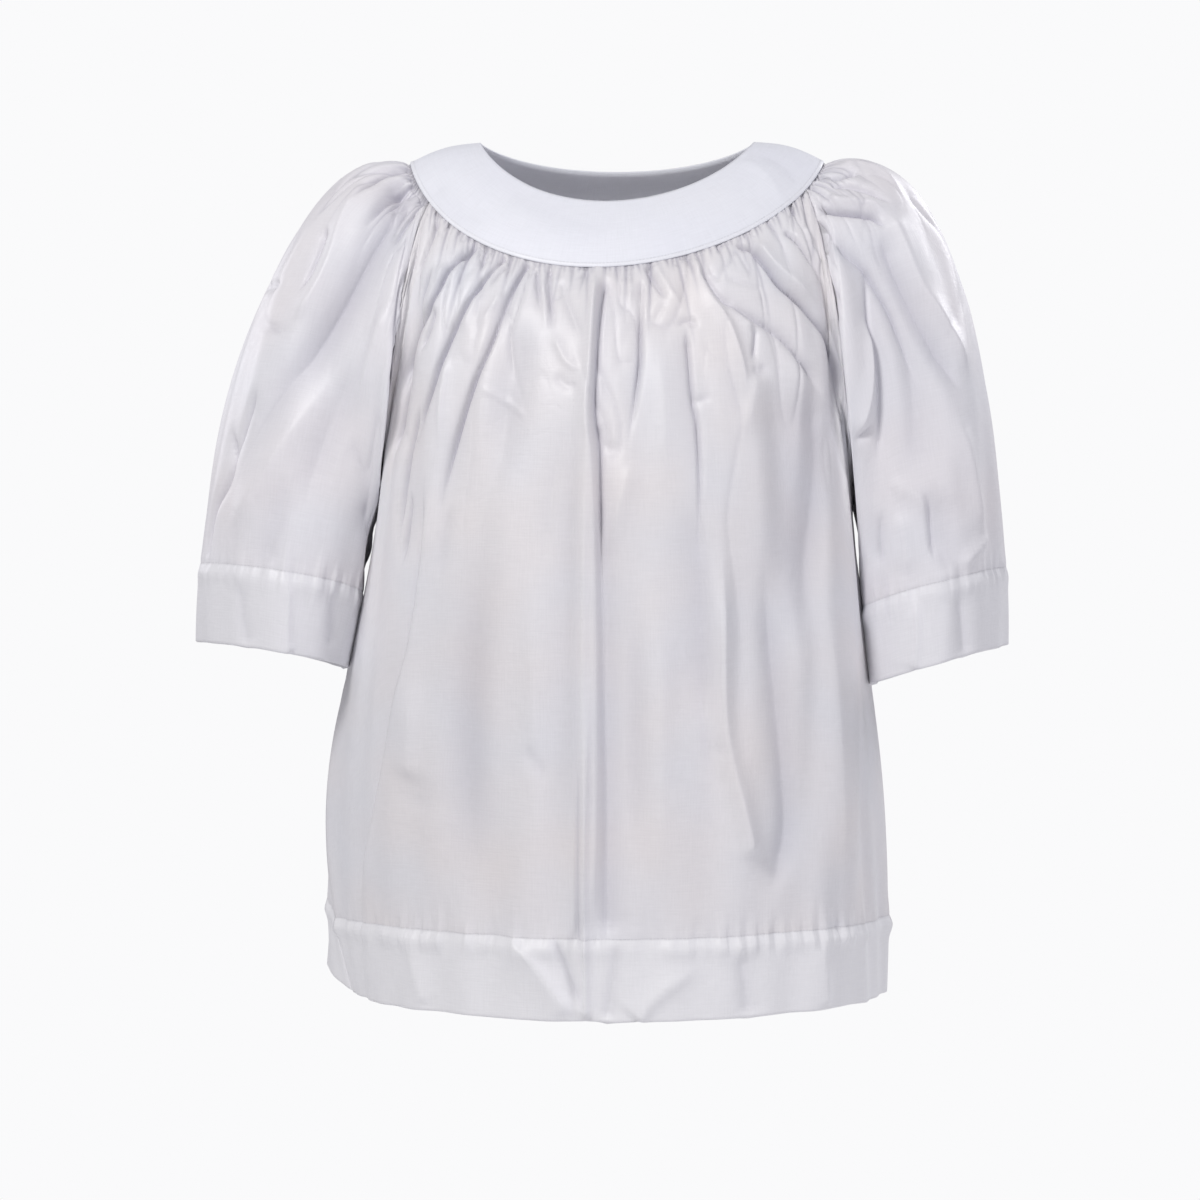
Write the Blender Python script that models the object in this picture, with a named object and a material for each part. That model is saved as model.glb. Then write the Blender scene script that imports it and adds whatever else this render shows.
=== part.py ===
"""A short choir surplice in white poplin, worn and filled out with no wearer inside.

Metres, +Z up, front towards -Y. The origin lies between the shoulders, level with the seam of the
round yoke there, where the garment is held up. Two gathered body panels and two gathered raglan
sleeves hang from a smooth yoke of two halves, and each ends in a deep turned-up hem.
"""

import math

import bmesh
import bpy
import numpy as np

FRONT = -1
BACK = 1
LEFT = -1
RIGHT = 1

WALL = 0.0018
HEM_WALL = 0.0026
HEM_DEPTH = 0.062
SEAM_GAP = 0.0003

# The two edges of the yoke: how far they reach to each side, to the front and to the back, and
# how high they lie there. `round_off` softens their highest point on the shoulder.
NECK_EDGE = {
    "side": 0.108, "front": 0.078, "back": 0.066,
    "z_side": 0.014, "z_front": -0.036, "z_back": -0.004, "round_off": 0.5,
}
YOKE_EDGE = {
    "side": 0.163, "front": 0.118, "back": 0.112,
    "z_side": -0.001, "z_front": -0.087, "z_back": -0.052, "round_off": 0.25,
}
YOKE_BULGE = 0.004

# The raglan seams leave the yoke this far round from its middle and meet under the arm.
CORNER_TURN = math.radians(63.5)
UNDERARM = {"x": 0.186, "y": 0.0, "z": -0.268}
RAGLAN = {
    FRONT: {"x_high": 0.168, "y_high": -0.104, "z_high": -0.092,
            "x_low": 0.179, "y_low": -0.128, "z_low": -0.205},
    BACK: {"x_high": 0.168, "y_high": 0.104, "z_high": -0.080,
           "x_low": 0.180, "y_low": 0.122, "z_low": -0.205},
}

# The lower edge of the body. Its height turns to that of the sides only near them, the more so
# the higher `round_off` is. The back swings out at the left, beyond the side seam.
BODY_HEM = {
    "left": 0.212, "right": 0.217, "front": 0.170, "back": 0.166,
    "z_side": -0.664, "z_front": -0.653, "z_back": -0.668, "round_off": 6,
}
# Beside the side seams the front tucks in and, at the left, the back swings out and up.
TUCK = 0.010
LEFT_SWING = 0.034
SWING_LIFT = 0.5
SWING_AT = 0.16

# How the cloth leaves the top edge of a body panel, from its middle (at 0) to the underarm (at 1).
# x, y and z give the way it sets off, pull how far it goes that way, and lift how far up the
# lower end keeps its own way.
GATHERED_SHARE = 0.74
BODY_FALL = (
    {"at": 0.00, "x": 0.00, "y": 0.78, "z": -0.62, "pull": 0.110, "lift": 0.300},
    {"at": 0.45, "x": 0.22, "y": 0.76, "z": -0.61, "pull": 0.105, "lift": 0.290},
    {"at": 0.74, "x": 0.10, "y": 0.82, "z": -0.56, "pull": 0.095, "lift": 0.280},
    {"at": 0.87, "x": -0.08, "y": 0.26, "z": -0.96, "pull": 0.080, "lift": 0.250},
    {"at": 1.00, "x": 0.045, "y": 0.00, "z": -1.00, "pull": 0.140, "lift": 0.200},
)
SIDE_FLARE = {LEFT: 0.30, RIGHT: 0.04}
FLARE_ROUND_OFF = 6
SWING_LEAN = 6.0

# The same for a sleeve, from the underarm (at 0) to the top of the shoulder (at 0.5). spread is
# how much it leans out on its way down to the cuff.
RAGLAN_SHARE = 0.23
SLEEVE_FALL = (
    {"at": 0.00, "x": 0.36, "y": 0.00, "z": -0.93, "pull": 0.045, "lift": 0.050, "spread": 0.02},
    {"at": 0.12, "x": 0.08, "y": 0.42, "z": -0.90, "pull": 0.090, "lift": 0.120, "spread": 0.13},
    {"at": 0.23, "x": 0.55, "y": 0.78, "z": -0.30, "pull": 0.075, "lift": 0.190, "spread": 0.08},
    {"at": 0.36, "x": 0.84, "y": 0.52, "z": 0.12, "pull": 0.095, "lift": 0.220, "spread": 0.01},
    {"at": 0.50, "x": 0.95, "y": 0.00, "z": 0.31, "pull": 0.110, "lift": 0.240, "spread": 0.01},
)
CUFF_TURN = math.radians(16)
CUFF = {
    LEFT: {"x": 0.276, "half_width": 0.058, "half_depth": 0.096, "z": -0.392, "tilt": 0.012,
           "front_rise": 0.009, "pull": 0.80, "lift": 0.90, "spread": 2.2},
    RIGHT: {"x": 0.257, "half_width": 0.052, "half_depth": 0.094, "z": -0.400, "tilt": 0.017,
            "front_rise": 0.005, "pull": 1.00, "lift": 0.92, "spread": 1.2},
}

# Gathers along the yoke: how many on each piece, how high they stand and how far down they run.
GATHERS = {"body": 22, "sleeve": 16}
GATHER_HEIGHT = {"body": 0.0034, "sleeve": 0.0026}
GATHER_RUN = {"body": 0.120, "sleeve": 0.095}
GATHER_RISE = 0.012
# How unlike one another they are: in spacing, in height and in length.
GATHER_SHIFT = 0.22
GATHER_UNLIKE = 0.35
RUN_UNLIKE = 0.45
# Valleys are shallower than ridges, and every gather keeps its full height for a share of its run.
VALLEY_SHARE = 0.55
FULL_SHARE = 0.25

# The grid of each piece: rows of the yoke, columns along each raglan seam, the places of the rows
# down to the hem's stitches, and the steps by which a column's length is measured.
YOKE_ROWS = 2
RAGLAN_STEPS = 7
ROWS_DOWN = (0.0, 0.014, 0.035, 0.07, 0.12, 0.19, 0.28, 0.39, 0.52, 0.66, 0.82, 1.0)
LENGTH_STEPS = 64

# The largest folds: where each starts, where it is halfway down and where it ends, across the
# garment (x) and in height (z), with its width and how far it stands out (or in, below zero).
FOLDS = {
    "body_front": (
        {"x": -0.010, "z": -0.100, "x_half": -0.026, "x_end": -0.012, "z_end": -0.640,
         "width": 0.017, "depth": 0.0060},
        {"x": 0.003, "z": -0.100, "x_half": -0.006, "x_end": 0.006, "z_end": -0.640,
         "width": 0.015, "depth": -0.0060},
        {"x": -0.080, "z": -0.095, "x_half": -0.112, "x_end": -0.132, "z_end": -0.270,
         "width": 0.014, "depth": -0.0060},
        {"x": -0.104, "z": -0.085, "x_half": -0.134, "x_end": -0.158, "z_end": -0.250,
         "width": 0.013, "depth": -0.0050},
        {"x": 0.052, "z": -0.120, "x_half": 0.062, "x_end": 0.056, "z_end": -0.440,
         "width": 0.016, "depth": -0.0045},
        {"x": 0.104, "z": -0.075, "x_half": 0.140, "x_end": 0.158, "z_end": -0.215,
         "width": 0.015, "depth": -0.0055},
        {"x": 0.086, "z": -0.430, "x_half": 0.094, "x_end": 0.100, "z_end": -0.640,
         "width": 0.024, "depth": 0.0050},
        {"x": -0.120, "z": -0.380, "x_half": -0.128, "x_end": -0.126, "z_end": -0.640,
         "width": 0.026, "depth": 0.0045},
    ),
    "body_back": (
        {"x": 0.018, "z": -0.070, "x_half": 0.024, "x_end": 0.016, "z_end": -0.640,
         "width": 0.017, "depth": 0.0060},
        {"x": 0.004, "z": -0.070, "x_half": 0.006, "x_end": 0.000, "z_end": -0.640,
         "width": 0.015, "depth": -0.0055},
        {"x": 0.078, "z": -0.070, "x_half": 0.108, "x_end": 0.124, "z_end": -0.330,
         "width": 0.015, "depth": -0.0060},
        {"x": -0.072, "z": -0.070, "x_half": -0.100, "x_end": -0.116, "z_end": -0.360,
         "width": 0.015, "depth": -0.0060},
        {"x": -0.046, "z": -0.250, "x_half": -0.054, "x_end": -0.060, "z_end": -0.640,
         "width": 0.022, "depth": 0.0045},
        {"x": 0.110, "z": -0.400, "x_half": 0.118, "x_end": 0.124, "z_end": -0.640,
         "width": 0.024, "depth": 0.0045},
    ),
    "sleeve_left": (
        {"x": -0.176, "z": -0.030, "x_half": -0.212, "x_end": -0.226, "z_end": -0.180,
         "width": 0.013, "depth": -0.0060},
        {"x": -0.216, "z": -0.060, "x_half": -0.240, "x_end": -0.250, "z_end": -0.190,
         "width": 0.013, "depth": 0.0045},
        {"x": -0.268, "z": -0.180, "x_half": -0.282, "x_end": -0.290, "z_end": -0.370,
         "width": 0.016, "depth": 0.0045},
    ),
    "sleeve_right": (
        {"x": 0.182, "z": -0.045, "x_half": 0.206, "x_end": 0.216, "z_end": -0.150,
         "width": 0.013, "depth": -0.0050},
        {"x": 0.236, "z": -0.060, "x_half": 0.266, "x_end": 0.276, "z_end": -0.250,
         "width": 0.015, "depth": 0.0050},
        {"x": 0.230, "z": -0.250, "x_half": 0.236, "x_end": 0.232, "z_end": -0.370,
         "width": 0.016, "depth": 0.0040},
    ),
}
FOLD_END_FADE = 0.045
SEAM_FADE = 0.016
# Sleeve folds lie on the front half only, and none reaches the raglan seams.
FRONT_FADE = (-0.01, 0.03)
SLEEVE_SEAM_FADE = (0.1, 0.6)
# Pieces that meet more sharply than this (the cosine of their turn) keep normals of their own.
FOLDS_BACK = 0.3

# The cloth is one white poplin: the yoke, taken double, looks a little cooler and whiter.
CLOTH_COLOURS = {
    "yoke": (0.84, 0.87, 0.93), "body": (0.80, 0.81, 0.84), "sleeve": (0.81, 0.82, 0.85),
}
POPLIN_ROUGHNESS = 0.55


def smooth_step(values, low, high):
    """Rise from 0 at low to 1 at high, level at both ends."""
    share = np.clip((values - low) / (high - low), 0.0, 1.0)
    return share * share * (3.0 - 2.0 * share)


def uneven(index):
    """An irregular value from -1 to 1 for each whole number."""
    return 0.6 * math.sin(index * 2.4) + 0.4 * math.sin(index * 5.3 + 1.0)


def read_table(rows, column, at):
    """Read one column of a table at many places, along a smooth curve through its rows."""
    places = np.array([row["at"] for row in rows])
    values = np.array([row[column] for row in rows])
    slopes = np.gradient(values, places)
    lower = np.clip(np.searchsorted(places, at, side="right") - 1, 0, len(places) - 2)
    span = places[lower + 1] - places[lower]
    share = (at - places[lower]) / span
    rise = share * share * (3.0 - 2.0 * share)
    leave = share * (1.0 - share) ** 2 * span
    arrive = share * share * (share - 1.0) * span
    return (
        values[lower] * (1.0 - rise) + values[lower + 1] * rise
        + slopes[lower] * leave + slopes[lower + 1] * arrive
    )


def unit(vectors):
    return vectors / np.linalg.norm(vectors, axis=-1, keepdims=True)


def edge_point(edge, face, turn):
    """A point of a yoke edge, at a turn from the middle of its front or back (right is above 0)."""
    across = math.sin(turn)
    along = math.cos(turn)
    soft = edge["round_off"]
    drop = (math.hypot(along, soft) - soft) / (math.hypot(1.0, soft) - soft)
    middle = "front" if face == FRONT else "back"
    height = edge["z_side"] + (edge["z_" + middle] - edge["z_side"]) * drop
    return (edge["side"] * across, face * edge[middle] * along, height)


def curve_point(start, first, second, end, share):
    """A point of a cubic curve between start and end, drawn towards first and second."""
    rest = 1.0 - share
    weights = (rest**3, 3 * rest * rest * share, 3 * rest * share * share, share**3)
    points = (start, first, second, end)
    return sum(weight * np.asarray(point) for weight, point in zip(weights, points))


def raglan_point(side, face, share):
    """A point of a raglan seam, from the yoke (0) to the underarm (1)."""
    seam = RAGLAN[face]
    mirror = np.array((side, 1.0, 1.0))
    start = np.array(edge_point(YOKE_EDGE, face, side * CORNER_TURN))
    first = np.array((seam["x_high"], seam["y_high"], seam["z_high"])) * mirror
    second = np.array((seam["x_low"], seam["y_low"], seam["z_low"])) * mirror
    end = np.array((UNDERARM["x"], UNDERARM["y"], UNDERARM["z"])) * mirror
    return curve_point(start, first, second, end, share)


def gather_places(count):
    """Unevenly spaced ridges and valleys from 0 to 1, in turn, with one of them at the middle."""
    places = []
    for step in range(2 * count + 1):
        at_rest = step in (0, count, 2 * count)
        shift = 0.0 if at_rest else GATHER_SHIFT * uneven(step)
        places.append((step + shift) / (2 * count))
    return places


def yoke_turns(kind):
    """The turns from the middle of the yoke at which a panel's or a sleeve's gathers meet it."""
    if kind == "body":
        return [CORNER_TURN * (2 * place - 1) for place in gather_places(GATHERS["body"])]
    half = [place for place in gather_places(GATHERS["sleeve"]) if place <= 0.5]
    return [CORNER_TURN + (math.pi / 2 - CORNER_TURN) * 2 * place for place in half]


def hang_columns(top, set_off, foot, arrive, pull, lift):
    """Let columns of points fall from a top edge to a lower edge.

    Each column is a cubic curve, read at even shares of its own length down to the line where
    the hem is stitched, then halfway down the hem and at its fold.
    """
    first = top + set_off * pull[:, None]
    second = foot + arrive * lift[:, None]
    fine = np.array([
        curve_point(top, first, second, foot, step / LENGTH_STEPS)
        for step in range(LENGTH_STEPS + 1)
    ])
    steps = np.linalg.norm(np.diff(fine, axis=0), axis=2)
    down = np.vstack([np.zeros(len(top)), np.cumsum(steps, axis=0)])
    to_stitches = down[-1] - HEM_DEPTH
    rows = [share * to_stitches for share in ROWS_DOWN]
    distances = np.array(rows + [down[-1] - HEM_DEPTH / 2, down[-1]])
    points = np.empty(distances.shape + (3,))
    for column in range(len(top)):
        for axis in range(3):
            points[:, column, axis] = np.interp(
                distances[:, column], down[:, column], fine[:, column, axis]
            )
    return points, distances


def surface_normals(points, closed):
    """Outward or inward unit normals of a grid of points, by the slope of its rows and columns."""
    down = np.gradient(points, axis=0)
    if closed:
        across = np.roll(points, -1, axis=1) - np.roll(points, 1, axis=1)
    else:
        across = np.gradient(points, axis=1)
    return unit(np.cross(down, across))


def fold_height(folds, points):
    """How far the named folds move each point out of the smooth cloth."""
    x = points[..., 0]
    z = points[..., 2]
    height = np.zeros_like(x)
    for fold in folds:
        share = (fold["z"] - z) / (fold["z"] - fold["z_end"])
        line = (
            fold["x"] * (1 - share) * (1 - 2 * share)
            + fold["x_half"] * 4 * share * (1 - share)
            + fold["x_end"] * share * (2 * share - 1)
        )
        fade = smooth_step(fold["z"] - z, 0.0, FOLD_END_FADE)
        fade = fade * smooth_step(z - fold["z_end"], 0.0, FOLD_END_FADE)
        height += fold["depth"] * fade * np.exp(-(((x - line) / fold["width"]) ** 2))
    return height


def gather_height(kind, distances):
    """Ridges and valleys below the yoke, in turn, each with a height and a length of its own."""
    height = np.zeros_like(distances)
    for step in range(1, 2 * GATHERS[kind]):
        tall = GATHER_HEIGHT[kind] * (1.0 + GATHER_UNLIKE * uneven(step + 3))
        if step % 2 == 0:
            tall = -VALLEY_SHARE * tall
        run = GATHER_RUN[kind] * (1.0 + RUN_UNLIKE * uneven(step // 2 + 7))
        below = distances[:, RAGLAN_STEPS + step]
        rise = smooth_step(below, 0.0, GATHER_RISE)
        fade = 1.0 - smooth_step(below, FULL_SHARE * run, run)
        height[:, RAGLAN_STEPS + step] = tall * rise * fade
    return height


def body_panel(name, face):
    """A body panel's smooth cloth, its outward normals and the height of its folds."""
    turns = yoke_turns("body")
    seam = [step / RAGLAN_STEPS for step in range(1, RAGLAN_STEPS + 1)]
    top = [raglan_point(LEFT, face, share) for share in reversed(seam)]
    top += [edge_point(YOKE_EDGE, face, turn) for turn in turns]
    top += [raglan_point(RIGHT, face, share) for share in seam]
    on_seam = [GATHERED_SHARE + (1 - GATHERED_SHARE) * share for share in seam]
    places = [-place for place in reversed(on_seam)]
    places += [GATHERED_SHARE * turn / CORNER_TURN for turn in turns]
    places += on_seam
    middle = "front" if face == FRONT else "back"
    foot = []
    arrive = []
    for place in places:
        side = LEFT if place < 0 else RIGHT
        across = math.sin(place * math.pi / 2)
        along = math.cos(place * math.pi / 2)
        x = BODY_HEM["left" if side == LEFT else "right"] * across
        share = (1 - abs(place)) / SWING_AT
        near_side = share * math.exp(1 - share)
        swing = near_side * LEFT_SWING if face == BACK and side == LEFT else 0.0
        tuck = near_side * TUCK if face == FRONT else 0.0
        inside = 1 - across ** BODY_HEM["round_off"]
        z = BODY_HEM["z_side"] + (BODY_HEM["z_" + middle] - BODY_HEM["z_side"]) * inside
        x = x - swing - side * tuck
        foot.append((x, face * BODY_HEM[middle] * along, z + SWING_LIFT * swing))
        flare = SIDE_FLARE[side] * side * place**FLARE_ROUND_OFF
        arrive.append((flare + SWING_LEAN * swing, 0.0, 1.0))
    far = np.abs(places)
    ways = [
        np.sign(places) * read_table(BODY_FALL, "x", far),
        face * read_table(BODY_FALL, "y", far),
        read_table(BODY_FALL, "z", far),
    ]
    points, distances = hang_columns(
        np.array(top), unit(np.stack(ways, axis=1)), np.array(foot), np.array(arrive),
        read_table(BODY_FALL, "pull", far), read_table(BODY_FALL, "lift", far),
    )
    normals = surface_normals(points, closed=False) * -face
    height = fold_height(FOLDS[name], points) + gather_height("body", distances)
    to_side = (1.0 - far) * BODY_HEM["right"] * math.pi / 2
    height = height * smooth_step(to_side, 0.0, SEAM_FADE)
    return points, normals, height * smooth_step(distances, 0.0, SEAM_FADE / 2)


def sleeve_tube(name, side):
    """A sleeve's smooth cloth, its outward normals and the height of its folds.

    Its columns run from under the arm up the front raglan seam, over the shoulder along the
    yoke and down the back raglan seam.
    """
    seam = [step / RAGLAN_STEPS for step in range(RAGLAN_STEPS)]
    turns = yoke_turns("sleeve")
    top = [raglan_point(side, FRONT, 1 - share) for share in seam]
    top += [edge_point(YOKE_EDGE, FRONT, side * turn) for turn in turns]
    top += [edge_point(YOKE_EDGE, BACK, side * turn) for turn in reversed(turns[:-1])]
    top += [raglan_point(side, BACK, 1 - share) for share in reversed(seam[1:])]
    on_yoke = (0.5 - RAGLAN_SHARE) / (math.pi / 2 - CORNER_TURN)
    places = [RAGLAN_SHARE * share for share in seam]
    places += [RAGLAN_SHARE + on_yoke * (turn - CORNER_TURN) for turn in turns]
    places += [1 - place for place in reversed(places[1:-1])]
    cuff = CUFF[side]
    foot = []
    for place in places:
        inward = math.cos(2 * math.pi * place)
        forward = math.sin(2 * math.pi * place)
        wide = cuff["half_width"] * inward
        deep = cuff["half_depth"] * forward
        foot.append((
            side * (cuff["x"] - wide * math.cos(CUFF_TURN) - deep * math.sin(CUFF_TURN)),
            wide * math.sin(CUFF_TURN) - deep * math.cos(CUFF_TURN),
            cuff["z"] - cuff["tilt"] * inward + cuff["front_rise"] * max(forward, 0.0),
        ))
    places = np.array(places)
    far = np.minimum(places, 1 - places)
    ways = [
        side * read_table(SLEEVE_FALL, "x", far),
        np.where(places <= 0.5, FRONT, BACK) * read_table(SLEEVE_FALL, "y", far),
        read_table(SLEEVE_FALL, "z", far),
    ]
    arrive = np.tile((0.0, 0.0, 1.0), (len(places), 1))
    arrive[:, 0] = -side * cuff["spread"] * read_table(SLEEVE_FALL, "spread", far)
    points, distances = hang_columns(
        np.array(top), unit(np.stack(ways, axis=1)), np.array(foot), arrive,
        read_table(SLEEVE_FALL, "pull", far) * (1 + (cuff["pull"] - 1) * 2 * far),
        read_table(SLEEVE_FALL, "lift", far) * (1 + (cuff["lift"] - 1) * 2 * far),
    )
    normals = surface_normals(points, closed=True) * side
    height = fold_height(FOLDS[name], points) * smooth_step(-points[..., 1], *FRONT_FADE)
    height = height + gather_height("sleeve", distances)
    height = height * smooth_step(far / RAGLAN_SHARE, *SLEEVE_SEAM_FADE)
    return points, normals, height * smooth_step(distances, 0.0, SEAM_FADE / 2)


def yoke_half(face):
    """Half of the yoke, from the neck to the seam, and its outward normals."""
    sleeve = yoke_turns("sleeve")
    turns = [-turn for turn in reversed(sleeve[1:])] + yoke_turns("body") + sleeve[1:]
    neck = np.array([edge_point(NECK_EDGE, face, turn) for turn in turns])
    seam = np.array([edge_point(YOKE_EDGE, face, turn) for turn in turns])
    points = np.array([neck + (seam - neck) * row / YOKE_ROWS for row in range(YOKE_ROWS + 1)])
    normals = surface_normals(points, closed=False) * -face
    swell = np.sin(math.pi * np.arange(YOKE_ROWS + 1) / YOKE_ROWS)
    return points, normals, YOKE_BULGE * np.tile(swell[:, None], (1, len(turns)))


def share_normals(pieces):
    """Give the points at which pieces meet one common normal, unless they fold back there."""
    sums = {}
    for points, normals, height in pieces.values():
        for place, normal in zip(points.reshape(-1, 3), normals.reshape(-1, 3)):
            key = tuple(np.round(place, 5))
            sums[key] = sums.get(key, 0.0) + normal
    for points, normals, height in pieces.values():
        for index in np.ndindex(height.shape):
            common = unit(sums[tuple(np.round(points[index], 5))])
            if common @ normals[index] > FOLDS_BACK:
                normals[index] = common


def inward_step(points, normals, edge, next_line, closed):
    """Steps of half a seam gap from an edge into its piece, square to the edge."""
    if closed:
        along = unit(np.roll(edge, -1, axis=0) - np.roll(edge, 1, axis=0))
    else:
        along = unit(np.gradient(edge, axis=0))
    step = next_line - edge
    step = step - along * np.sum(step * along, axis=1, keepdims=True)
    step = step - normals * np.sum(step * normals, axis=1, keepdims=True)
    return unit(step) * SEAM_GAP / 2


def open_seams(points, normals, edges, closed):
    """Move the sewn edges of a piece half a seam gap back from their neighbours."""
    moved = points.copy()
    lines = {
        "top": (np.s_[0], np.s_[1]),
        "foot": (np.s_[-1], np.s_[-2]),
        "first": (np.s_[:, 0], np.s_[:, 1]),
        "last": (np.s_[:, -1], np.s_[:, -2]),
    }
    for name in edges:
        edge, next_line = lines[name]
        moved[edge] += inward_step(
            points, normals[edge], points[edge], points[next_line], closed
        )
    return moved


def cloth_mesh(name, outer, inner, closed):
    """One closed solid between two grids of points."""
    rows, columns = outer.shape[:2]
    bm = bmesh.new()
    sheets = [
        [[bm.verts.new(point) for point in row] for row in sheet] for sheet in (outer, inner)
    ]

    def add_quad(a, b, c, d):
        bm.faces.new((a, b, c))
        bm.faces.new((a, c, d))

    last = columns if closed else columns - 1
    for row in range(rows - 1):
        for column in range(last):
            after = (column + 1) % columns
            for sheet in sheets:
                add_quad(
                    sheet[row][column], sheet[row][after],
                    sheet[row + 1][after], sheet[row + 1][column],
                )
    for row in (0, rows - 1):
        for column in range(last):
            after = (column + 1) % columns
            add_quad(
                sheets[0][row][column], sheets[0][row][after],
                sheets[1][row][after], sheets[1][row][column],
            )
    if not closed:
        for column in (0, columns - 1):
            for row in range(rows - 1):
                add_quad(
                    sheets[0][row][column], sheets[0][row + 1][column],
                    sheets[1][row + 1][column], sheets[1][row][column],
                )
    bmesh.ops.recalc_face_normals(bm, faces=bm.faces)
    mesh = bpy.data.meshes.new(name)
    bm.to_mesh(mesh)
    bm.free()
    return mesh


def cloth_material(name, colour):
    material = bpy.data.materials.new(name)
    material.use_nodes = True
    shader = material.node_tree.nodes["Principled BSDF"]
    shader.inputs["Base Color"].default_value = (*colour, 1.0)
    shader.inputs["Roughness"].default_value = POPLIN_ROUGHNESS
    shader.inputs["Metallic"].default_value = 0.0
    return material


def add_piece(name, piece, edges, closed, material):
    """Make one sewn piece as an object: its wall lies inside the cloth's outer face."""
    points, normals, height = piece
    outer = open_seams(points, normals, edges, closed) + normals * height[..., None]
    wall = np.full(height.shape, WALL)
    if not name.startswith("yoke"):
        wall[-2:] = HEM_WALL
    inner = outer - normals * wall[..., None]
    obj = bpy.data.objects.new(name, cloth_mesh(name, outer, inner, closed))
    obj.data.materials.append(material)
    bpy.context.scene.collection.objects.link(obj)


def main():
    for obj in list(bpy.data.objects):
        bpy.data.objects.remove(obj, do_unlink=True)
    pieces = {
        "yoke_front": yoke_half(FRONT),
        "yoke_back": yoke_half(BACK),
        "body_front": body_panel("body_front", FRONT),
        "body_back": body_panel("body_back", BACK),
        "sleeve_left": sleeve_tube("sleeve_left", LEFT),
        "sleeve_right": sleeve_tube("sleeve_right", RIGHT),
    }
    share_normals(pieces)
    sewn = {"yoke": ("foot", "first", "last"), "body": ("top", "first", "last"), "sleeve": ("top",)}
    for name, piece in pieces.items():
        kind = name.split("_")[0]
        material = cloth_material(name + "_poplin", CLOTH_COLOURS[kind])
        add_piece(name, piece, sewn[kind], kind == "sleeve", material)


main()
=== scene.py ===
# A short choir surplice in white poplin, worn and filled out: yoke, body panels and sleeves.
import math
import bpy
import mathutils
import numpy as np
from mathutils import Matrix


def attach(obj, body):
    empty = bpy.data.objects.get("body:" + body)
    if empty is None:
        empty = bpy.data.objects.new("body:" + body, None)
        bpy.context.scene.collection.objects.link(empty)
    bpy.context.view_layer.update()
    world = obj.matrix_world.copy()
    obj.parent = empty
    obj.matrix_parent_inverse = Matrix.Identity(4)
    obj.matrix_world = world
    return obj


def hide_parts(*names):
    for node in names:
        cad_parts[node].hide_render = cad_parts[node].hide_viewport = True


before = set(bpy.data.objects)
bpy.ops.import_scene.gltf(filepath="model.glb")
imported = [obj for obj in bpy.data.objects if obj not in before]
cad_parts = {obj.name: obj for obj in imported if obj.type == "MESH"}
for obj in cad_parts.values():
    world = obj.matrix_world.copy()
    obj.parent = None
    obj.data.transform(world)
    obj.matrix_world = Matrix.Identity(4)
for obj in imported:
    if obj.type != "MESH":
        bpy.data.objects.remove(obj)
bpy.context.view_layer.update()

front = -1
back = 1
left = -1
right = 1

# Sizes of the cloth, in metres.
cloth = {
    "wall": 0.0006,            # one layer, a little thicker than real poplin, to stay a solid
    "hemWall": 0.0015,         # the turned-up hem is three layers at its stitches and two below
    "yokeWall": 0.0014,        # two layers
    "hemDepth": 0.062,
    "hemEdge": 0.001,
    "seamDip": 0.0012,         # how far a seam pulls the cloth in
    "seamDipWide": 0.0035,
    "yokeSwell": 0.004,        # how far the middle of the yoke swells out
    "yokeProud": 0.0010,       # the yoke's turned edge lies over the gathers
    "yokeStitch": 0.0025,      # from the yoke's outer edge to its row of stitches
}

# The cut, in metres: the sizes of the solids, apart from the lean of the front yoke and the front
# raglan seams, whose lower half lies further forward. "roundOff" is how soft an edge's bend is.
neckEdge = {"side": 0.108, "front": 0.078, "back": 0.066,
            "zSide": 0.014, "zFront": -0.036, "zBack": -0.004, "roundOff": 0.5, "lean": 0.003}
yokeEdge = {"side": 0.163, "front": 0.118, "back": 0.112,
            "zSide": -0.001, "zFront": -0.087, "zBack": -0.052, "roundOff": 0.25, "lean": 0.006}
cornerTurn = math.radians(63.5)    # where the raglan seams leave the yoke
underarm = (0.186, 0.0, -0.268)
raglan = {
    front: {"high": (0.168, -0.104, -0.092), "low": (0.179, -0.148, -0.211)},
    back: {"high": (0.168, 0.104, -0.080), "low": (0.180, 0.122, -0.205)},
}
bodyHem = {"left": 0.212, "right": 0.217, "front": 0.170, "back": 0.166,
           "zSide": -0.664, "zFront": -0.653, "zBack": -0.668, "roundOff": 6}
tuck = 0.010               # how far the front hem turns in near the side seams
leftSwing = 0.034          # how far the back hem swings out at the left
swingLift = 0.5            # how much the hem rises for each metre of the swing
swingAt = 0.16             # the share of a panel at which it is tucked or swings out most
swingLean = 6.0            # how much the cloth slants there for each metre of the swing
sideFlare = {left: 0.30, right: 0.04}      # how much it slants at the side seams
flareRoundOff = 6
gatheredShare = 0.74       # the share of a body panel's top edge that is gathered to the yoke
# How the cloth leaves its top edge: the share of the panel, the way it goes, how far it keeps to
# that way and to the way it hangs at the hem, and how much wider a sleeve stands at its foot.
fallColumns = ("at", "x", "y", "z", "pull", "lift", "spread")
# from the middle of a body panel to the underarm
bodyFall = (
    (0.00, 0.00, 0.78, -0.62, 0.110, 0.300),
    (0.45, 0.22, 0.76, -0.61, 0.105, 0.290),
    (0.74, 0.10, 0.82, -0.56, 0.095, 0.280),
    (0.87, -0.08, 0.26, -0.96, 0.080, 0.250),
    (1.00, 0.045, 0.00, -1.00, 0.140, 0.200),
)
raglanShare = 0.23         # the share of a sleeve's top edge that is sewn to the front or back
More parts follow.
